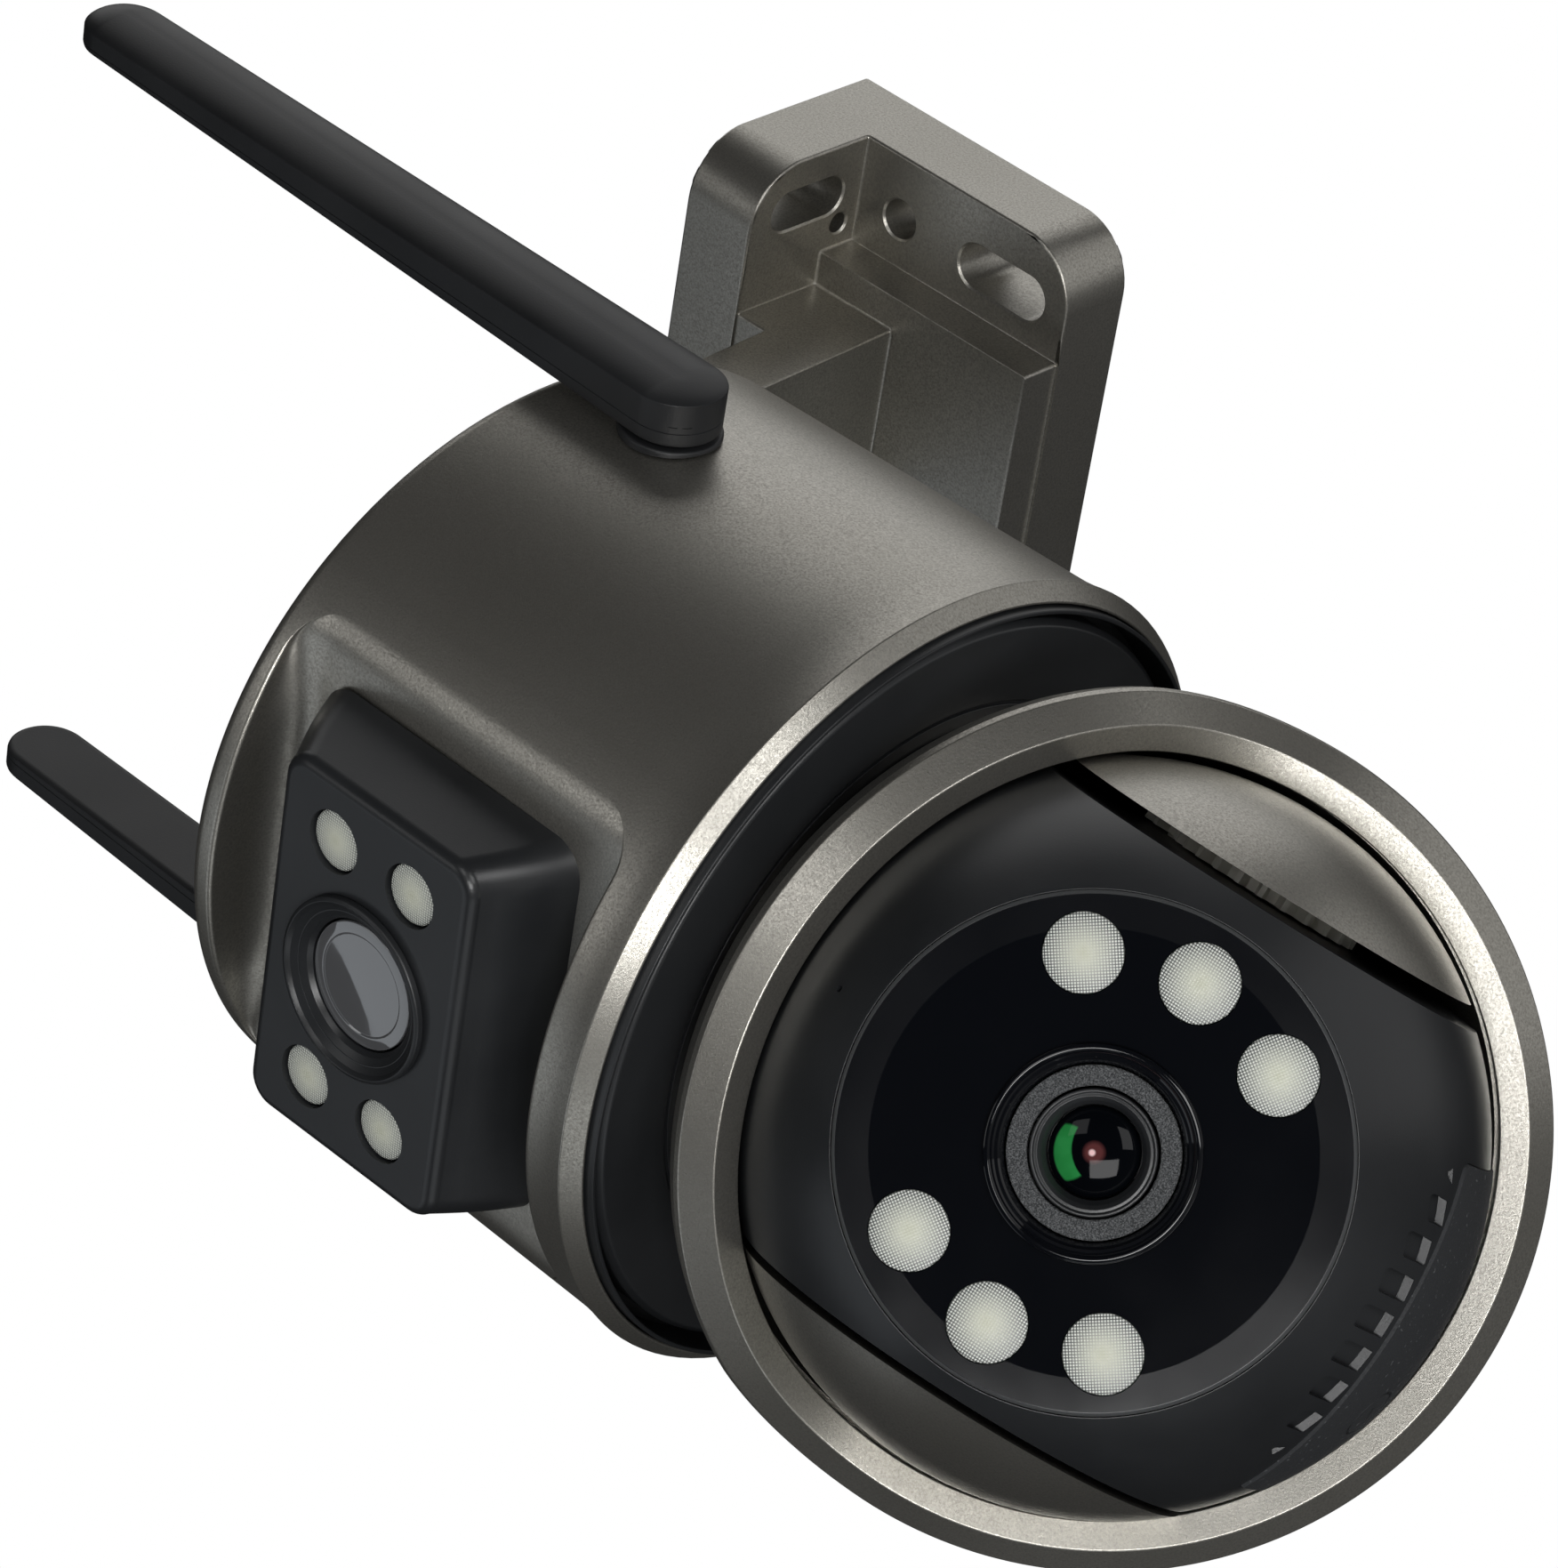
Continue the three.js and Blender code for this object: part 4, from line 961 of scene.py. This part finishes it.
def antenna(name, side):
    """A paddle whose outer face is domed above a crisp crease, with a joint line round its side."""
    rings = [wall_section(rise, inset) for rise, inset in ((0, 1.1), (0.1, 0.5), (0.4, 0.12), (0.8, 0))]
    for rise, inset in ((-0.24, 0), (-0.18, 0.12), (-0.06, 0.12), (0, 0)):
        rings.append(wall_section(rise, inset, 0.38))
    rings.append(wall_section(-0.1, 0, 1))
    rings += [dome_section(inset) for inset in (0.06, 0.25, 0.5, 0.9, 1.4, 2, 2.7, 3.5, 4.4, 5.3)]
    place = BODY @ move(0, HUB_Y, HUB_Z) @ Matrix.Rotation(LEANS[name], 4, "X")
    facing = move(side * PADDLE_MID, 0, 0) @ (Matrix() if side > 0 else turn("Z", 180))
    paddle = loft(rings, place @ facing)
    stub = rod(2.4, 47, 57, place @ (RIGHTWARDS if side > 0 else turn("Y", -90)), 48)
    join(paddle, stub)
    outside = PADDLE_HALF_BASE + 1
    marks = [block((-0.4, -0.12, -outside), (0.75, 0.12, -outside + 1.2), place @ facing @ turn("X", -50))]
    for heading in (-47, -43, -30, -26):
        around = place @ facing @ turn("X", heading)
        marks.append(block((0.62, -0.4, -outside), (0.75, 0.4, -outside + 1.15), around))
    cut(paddle, *marks)
    finish_piece(paddle, f"fine_antenna_{name}", "antenna_black", f"{name}_antenna", f"antenna_{name}")


def antenna_base(name, side):
    place = BODY @ move(0, HUB_Y, HUB_Z) @ (RIGHTWARDS if side > 0 else turn("Y", -90))
    top = PADDLE_MID - 2.5 - GAP
    flange = lathe(rounded([(0, 53), (6.8, 53), (6.8, top, 0.4), (0, top)], False, 4), place, 96)
    cut(flange, body_solid(0.15))
    join(flange, rod(4, 49, top - 0.2, place, 64))
    cut(flange, rod(2.7, 40, 70, place, 64))
    finish_piece(flange, f"fine_antenna_{name}_base", "antenna_black", "mount", f"antenna_{name}_base")


# ---------------------------------------------------------------- turntable and head


def pan_drum():
    low = DRUM_LOW
    drum = lathe(rounded([
        (29.6, low, 0.3), (40.2, low, 0.1), (40.2, low + 0.5), (40.8, low + 0.5), (40.8, low, 0.1),
        (51.0, low, 0.6), (DRUM_RADIUS, low + 1, 0.5), (DRUM_RADIUS, 5), (49.8, 5), (49.8, 2.6),
        (31.5, 2.6), (31.5, 10.4), (11.5, 10.4), (11.5, 22), (9, 22), (9, 8.4), (29.6, 8.4),
    ], steps=4), HEAD, 192)
    finish_piece(drum, "fine_pan_drum", "black_satin", "head", "pan_drum")


def bend_visor(x, up, out):
    """The bezel's upper part leans forwards along a smooth ramp."""
    ramp = VISOR_RAMP / VISOR_ANGLE
    along = min(max(up - VISOR_START, 0), VISOR_RAMP)
    beyond = max(up - VISOR_START - VISOR_RAMP, 0)
    if along == 0:
        return (x, -out, up)
    angle = along / ramp
    forward = ramp - (ramp - out) * math.cos(angle) + beyond * math.sin(VISOR_ANGLE)
    height = VISOR_START + (ramp - out) * math.sin(angle) + beyond * math.cos(VISOR_ANGLE)
    return (x, -forward, height)


def bezel():
    STEPS = 224
    profile = rounded([
        (47.85, -0.8, 0.25), (51.5, 0, 0.35), (54.8, -3.3, 0.5), (54.9, -4.4, 0.4), (54, -7.4, 0.8),
        (51.2, -8.4), (51.2, -5.2), (48.1, -5.2, 0.3),
    ], steps=4)
    points = []
    rings = []
    for step in range(STEPS):
        angle = 2 * math.pi * step / STEPS
        rings.append(list(range(len(points), len(points) + len(profile))))
        for radius, out in profile:
            points.append(bend_visor(radius * math.cos(angle), radius * math.sin(angle), out))
    faces = []
    for i in range(STEPS):
        faces += bridge(rings[i], rings[(i + 1) % STEPS])
    ring = solid(points, faces, BEZEL)
    finish_piece(ring, "fine_head_bezel", "bronze", "head", "head_bezel", sharp=50)


def rear_shell():
    behind = []
    for step in range(30):
        _, y, z = bend_visor(0, VISOR_START + 2 * step, -5.6)
        behind.append((y, z))
    side = prism([(60, -70), (5.6, -70), *behind, (60, 75)], -60, 60, BEZEL @ turn("Z", 90) @ turn("X", 90))
    shell = keep(sphere(50.6, BALL), side)
    cut(shell, block((-80, -80, DRUM_LOW - GAP), (80, 80, 80), HEAD))
    join(shell, rod(38, -10, DRUM_LOW - GAP, HEAD, 144))
    cut(shell, sphere(48.2, BALL))
    finish_piece(shell, "fine_head_rear_shell", "bronze", "head", "head_rear_shell")


def side_cap(name, side):
    slot = CAP_RIGHT if side > 0 else -CAP_LEFT
    place = CAPS if side > 0 else CAPS @ Matrix.Diagonal((-1, 1, 1, 1))
    across = place @ RIGHTWARDS
    cap = keep(sphere(CAP_RADIUS, across), block((slot, -60, -60), (60, 16, 60), place))
    cut(cap, keep(sphere(CAP_RADIUS - 2.2, across), block((slot + 2.2, -60, -60), (60, 60, 60), place)))
    join(cap, tube(6.4, 8.2, slot + 1, slot + 4.6, across, 64))
    cut(cap, rod(6.4, slot - 1, slot + 4.7, across, 64))
    finish_piece(cap, f"fine_side_cap_{name}", "bronze", "head", f"side_cap_{name}")


# ---------------------------------------------------------------- ball


def underside(outline, deep, shift=(0, 0, 0)):
    """The part of a shell under the ball within an outline drawn across and forwards."""
    column = prism(outline, -60, -20, EYE @ Matrix.Diagonal((1, -1, 1, 1)))
    skin = keep(column, sphere(BALL_RADIUS + 2.5, EYE @ AHEAD, 48, 96))
    return cut(skin, sphere(BALL_RADIUS - deep, EYE @ move(*shift) @ AHEAD, 48, 96))


def flap_outline(grow):
    """The card cover's outline, with a bowed front edge, larger by grow."""
    STEPS = 24

    def front(x):
        return 22.2 - 0.0117 * x * x + grow

    left, right = -26 - grow, 21.4 + grow
    points = [(left, -4 - grow)]
    for step in range(STEPS):
        x = left + (right - left) * step / STEPS
        points.append((x, front(x)))
    points += [(right, front(right), 2.4), (right, -4 - grow)]
    return rounded(points, steps=6)


def ball_shell():
    across = EYE @ AHEAD
    shell = keep(sphere(BALL_RADIUS, across, 96, 192),
                 block((BALL_LEFT, -PLATE_DEPTH, -60), (BALL_RIGHT, 60, 60), EYE))
    inside = keep(sphere(BALL_RADIUS - 2.2, across, 36, 72),
                  block((BALL_LEFT + 2.2, -30, -60), (BALL_RIGHT - 2.2, 60, 60), EYE))
    join(shell, rod(TRUNNION, BALL_RIGHT - 1, CAP_RIGHT + 4.4, EYE @ RIGHTWARDS, 48),
         rod(TRUNNION, CAP_LEFT - 4.4, BALL_LEFT + 1, EYE @ RIGHTWARDS, 48))
    pinion = 17 * math.sqrt(0.5)
    cut(shell, inside, rod(29.2, 28, 40, EYE @ AHEAD, 144),
        rod(PLATE_RADIUS + 0.08, PLATE_DEPTH - 2.3, 40, EYE @ AHEAD, 192),
        rod(8, -60, -30, EYE @ AHEAD, 48),
        rod(2.6, 30, 40, EYE @ move(0, pinion, pinion) @ RIGHTWARDS, 32),
        underside(flap_outline(0.12), 1.2))
    RAMP = (0, 2.5, -1.7)     # the floors rise towards the flap
    for step in range(-3, 4):
        x = 0.3 + 4.93 * step
        back = 23.3 - 0.0117 * x * x
        ahead = 29.3 - 0.021 * x * x
        outline = rounded([
            (x - 1.5, back, 0.25), (x + 1.65, back, 0.25),
            (x + 1.65, ahead, 1.0), (x - 1.5, ahead - 0.6, 0.4),
        ], steps=5)
        cut(shell, underside(outline, 1.05, RAMP))
    for x in (19.4, -19.4):
        cut(shell, underside([(x - 0.8, 19.9), (x + 0.8, 19.9), (x, 21.7)], 0.5))
    cut(shell, rod(0.45, 40, 50, EYE @ turn("X", -50.6) @ AHEAD, 24))
    finish_piece(shell, "fine_ball_shell", "black_satin", "eye", "ball_shell", sharp=28)


def card_flap():
    flap = keep(prism(flap_outline(0), -60, -20, EYE @ Matrix.Diagonal((1, -1, 1, 1))),
                sphere(BALL_RADIUS + 0.35, EYE @ AHEAD, 96, 192))
    cut(flap, sphere(BALL_RADIUS - 0.9, EYE @ AHEAD, 48, 96))
    mark = Vector((-10.7, -10.7, -44.2))
    facing = mark.to_track_quat("Z", "Y").to_matrix().to_4x4()
    place = EYE @ facing
    cut(flap, tube(3.3, 3.7, BALL_RADIUS - 0.05, 50, place, 48))
    cut(flap, block((-1.4, -0.2, BALL_RADIUS - 0.05), (1.4, 0.2, 50), place))
    finish_piece(flap, "fine_card_flap", "rubber", "eye", "card_flap")


def head_leds():
    angles = [side + step * HEAD_LED_STEP for side in (0, 180) for step in (-1, 0, 1)]
    turns = [math.radians(angle) for angle in angles]
    return [(HEAD_LED_CIRCLE * math.cos(angle), HEAD_LED_CIRCLE * math.sin(angle)) for angle in turns]


def front_plate():
    HOOD_HOLE = 11.6
    OFF_CENTRE = 0.7     # degrees, so that no spoke of the plate meets a hole's widest point
    plate = lathe(rounded([
        (HOOD_HOLE, PLATE_DEPTH - 2), (PLATE_RADIUS, PLATE_DEPTH - 2), (PLATE_RADIUS, PLATE_DEPTH - 0.45, 0.1),
        (PLATE_RADIUS - 0.45, PLATE_DEPTH, 0.15), (HOOD_HOLE, PLATE_DEPTH),
    ], steps=3), EYE @ AHEAD @ turn("Z", OFF_CENTRE), 192)
    tools = [rod(HEAD_LED_RADIUS + 0.12, 30, 40, EYE @ move(x, 0, z) @ AHEAD, 96) for x, z in head_leds()]
    cut(plate, *tools)
    face_coordinates(plate, EYE @ AHEAD)
    finish_piece(plate, "fine_front_plate", "black_gloss", "eye", "front_plate", material=FRONT_PANEL)


def head_light_lenses():
    for i, (x, z) in enumerate(head_leds(), 1):
        heading = math.atan2(z, x)
        place = EYE @ move(x, 0, z) @ AHEAD @ Matrix.Rotation(heading, 4, "Z")
        lens = light_lens(HEAD_LED_RADIUS, PLATE_DEPTH - 3, PLATE_DEPTH - 0.1, 0.3, place)
        finish_piece(lens, f"fine_head_led_lens_{i}", "led_lens", "eye", f"head_led_lens_{i}")


def lens_parts():
    place = EYE @ AHEAD
    d = PLATE_DEPTH
    hood = lathe(rounded([
        (10.6, 29), (11.3, 29), (11.3, d + GAP), (13, d + GAP, 0.1), (13, d + 0.85, 0.3),
        (12.4, d + 1.1, 0.3), (11.9, d + 0.5, 0.3), (11.0, d - 0.3, 0.3), (10.6, d - 1.2, 0.4),
    ], steps=4), place)
    finish_piece(hood, "fine_lens_hood", "black_gloss", "eye", "lens_hood")
    sponge = lathe(rounded([
        (7.9, 31), (10.4, 31), (10.4, 33.4, 0.25), (7.9, 33.4, 0.25),
    ], steps=4), place)
    finish_piece(sponge, "fine_lens_foam", "foam", "eye", "lens_foam")
    barrel = lathe(rounded([
        (0, 12), (9, 12), (9, 20), (7.6, 20), (7.6, 34, 0.2), (7.2, 34, 0.15), (7.1, 33.6, 0.1),
        (6.7, 33.7, 0.15), (6.2, 33.1, 0.2), (5.7, 32.2, 0.1), (5.7, 29), (0, 29),
    ], False, 4), place)
    finish_piece(barrel, "fine_lens_barrel", "black_satin", "eye", "lens_barrel")
    dome = [(5.5 * sine, 31.2 + 1.5 * cosine) for sine, cosine in arc_points(14, True)]
    glass = lathe([(0, 30), (5.5, 30), *dome[::-1]], place)
    face_coordinates(glass, place)
    finish_piece(glass, "fine_lens_glass", "clear_glass", "eye", "lens_glass", material=LENS_PAINTED_REFLECTIONS)


# ---------------------------------------------------------------- build

wall_bracket()
body_shell()
base_cover()
cable_gland()
module_housing()
module_lens()
module_light_lenses()
for antenna_name, antenna_side in (("right", 1), ("left", -1)):
    antenna(antenna_name, antenna_side)
    antenna_base(antenna_name, antenna_side)
    side_cap(antenna_name, antenna_side)
pan_drum()
bezel()
rear_shell()
ball_shell()
card_flap()
front_plate()
head_light_lenses()
lens_parts()

# The CAD pieces that stay get the finish of their slot.
for row in frame["record"]["subparts"]:
    node = frame["nodes"][row["node"]]
    node.data.materials.clear()
    node.data.materials.append(MATERIALS[row["material_slot"]])

# ---------------------------------------------------------------- floor, camera and light

camera_right = Vector((0.137, 0.698, -0.703))
camera_up = Vector((0.82, 0.319, 0.476))
camera_back = camera_right.cross(camera_up).normalized()
camera_up = camera_back.cross(camera_right).normalized()
camera_right.normalize()

camera_data = bpy.data.cameras.new("camera")
camera_data.sensor_width = 36
camera_data.sensor_fit = "AUTO"
camera_data.lens = 153.15
camera_data.clip_end = 50
camera = bpy.data.objects.new("camera", camera_data)
bpy.context.scene.collection.objects.link(camera)
camera.matrix_world = Matrix((
    (camera_right.x, camera_up.x, camera_back.x, 0.4873),
    (camera_right.y, camera_up.y, camera_back.y, -0.6606),
    (camera_right.z, camera_up.z, camera_back.z, -0.5232),
    (0, 0, 0, 1),
))
bpy.context.scene.camera = camera

floor_material = Nodes("pale_floor")
floor_material.colour(floor_material.mix(floor_material.noise(3), (0.8, 0.8, 0.8), (0.84, 0.84, 0.84)))
floor_material.set(Roughness=0.7)
seen = floor_material.add("ShaderNodeLightPath")
floor_material.set(Emission_Color=(1, 1, 1, 1))
glow = floor_material.math("MULTIPLY", seen.outputs["Is Camera Ray"], 0.72)
floor_material.link(glow, floor_material.shader.inputs["Emission Strength"])
floor = solid([(-8, -8, 0), (8, -8, 0), (8, 8, 0), (-8, 8, 0)], [(0, 1, 2, 3)], move(0, 0, -1.5), "floor")
floor.data.materials.append(floor_material.material)

target = Vector((0, -0.1, -0.08))


def area_light(name, right, up, back, distance, size, radiance, tint=(1, 1, 1)):
    """A soft light placed by its direction in the picture, as bright as its radiance says."""
    direction = (camera_right * right + camera_up * up + camera_back * back).normalized()
    data = bpy.data.lights.new(name, "AREA")
    data.shape = "RECTANGLE"
    data.size, data.size_y = size
    data.energy = math.pi * size[0] * size[1] * radiance
    data.color = tint
    lamp = bpy.data.objects.new(name, data)
    bpy.context.scene.collection.objects.link(lamp)
    lamp.location = target + direction * distance
    across = camera_up.cross(direction).normalized()
    turned = Matrix((across, direction.cross(across), direction)).transposed()
    lamp.rotation_euler = turned.to_euler()


area_light("below_lens", 0.0, -0.3, 0.95, 1.3, (0.5, 0.34), 14)
area_light("near_right", 0.41, 0.15, 0.9, 1.3, (0.45, 0.5), 5.2)
area_light("near_left", -0.36, 0.3, 0.88, 1.3, (0.4, 0.4), 3.2)
area_light("left", -0.9, 0.15, 0.4, 1.3, (0.4, 0.5), 1.2)
area_light("under", 0.0, -0.93, 0.37, 1.3, (0.8, 0.5), 0.9, (0.93, 0.97, 1))
area_light("right", 0.93, 0.37, 0.05, 1.3, (1.4, 1.1), 0.5)
area_light("top", 0.05, 0.85, -0.5, 1.3, (1.4, 1.1), 0.85)
area_light("left_low", -0.85, -0.5, 0.1, 1.3, (0.9, 0.9), 0.6, (0.88, 0.94, 1))

world = bpy.data.worlds.new("studio")
bpy.context.scene.world = world
world.use_nodes = True
tree = world.node_tree
background = tree.nodes["Background"]
background.inputs["Color"].default_value = (0.02, 0.02, 0.02, 1)
white = tree.nodes.new("ShaderNodeBackground")
white.inputs["Color"].default_value = (1, 1, 1, 1)
chooser = tree.nodes.new("ShaderNodeMixShader")
rays = tree.nodes.new("ShaderNodeLightPath")
tree.links.new(rays.outputs["Is Camera Ray"], chooser.inputs["Fac"])
tree.links.new(background.outputs[0], chooser.inputs[1])
tree.links.new(white.outputs[0], chooser.inputs[2])
tree.links.new(chooser.outputs[0], tree.nodes["World Output"].inputs["Surface"])
bpy.context.scene.view_settings.view_transform = "Standard"
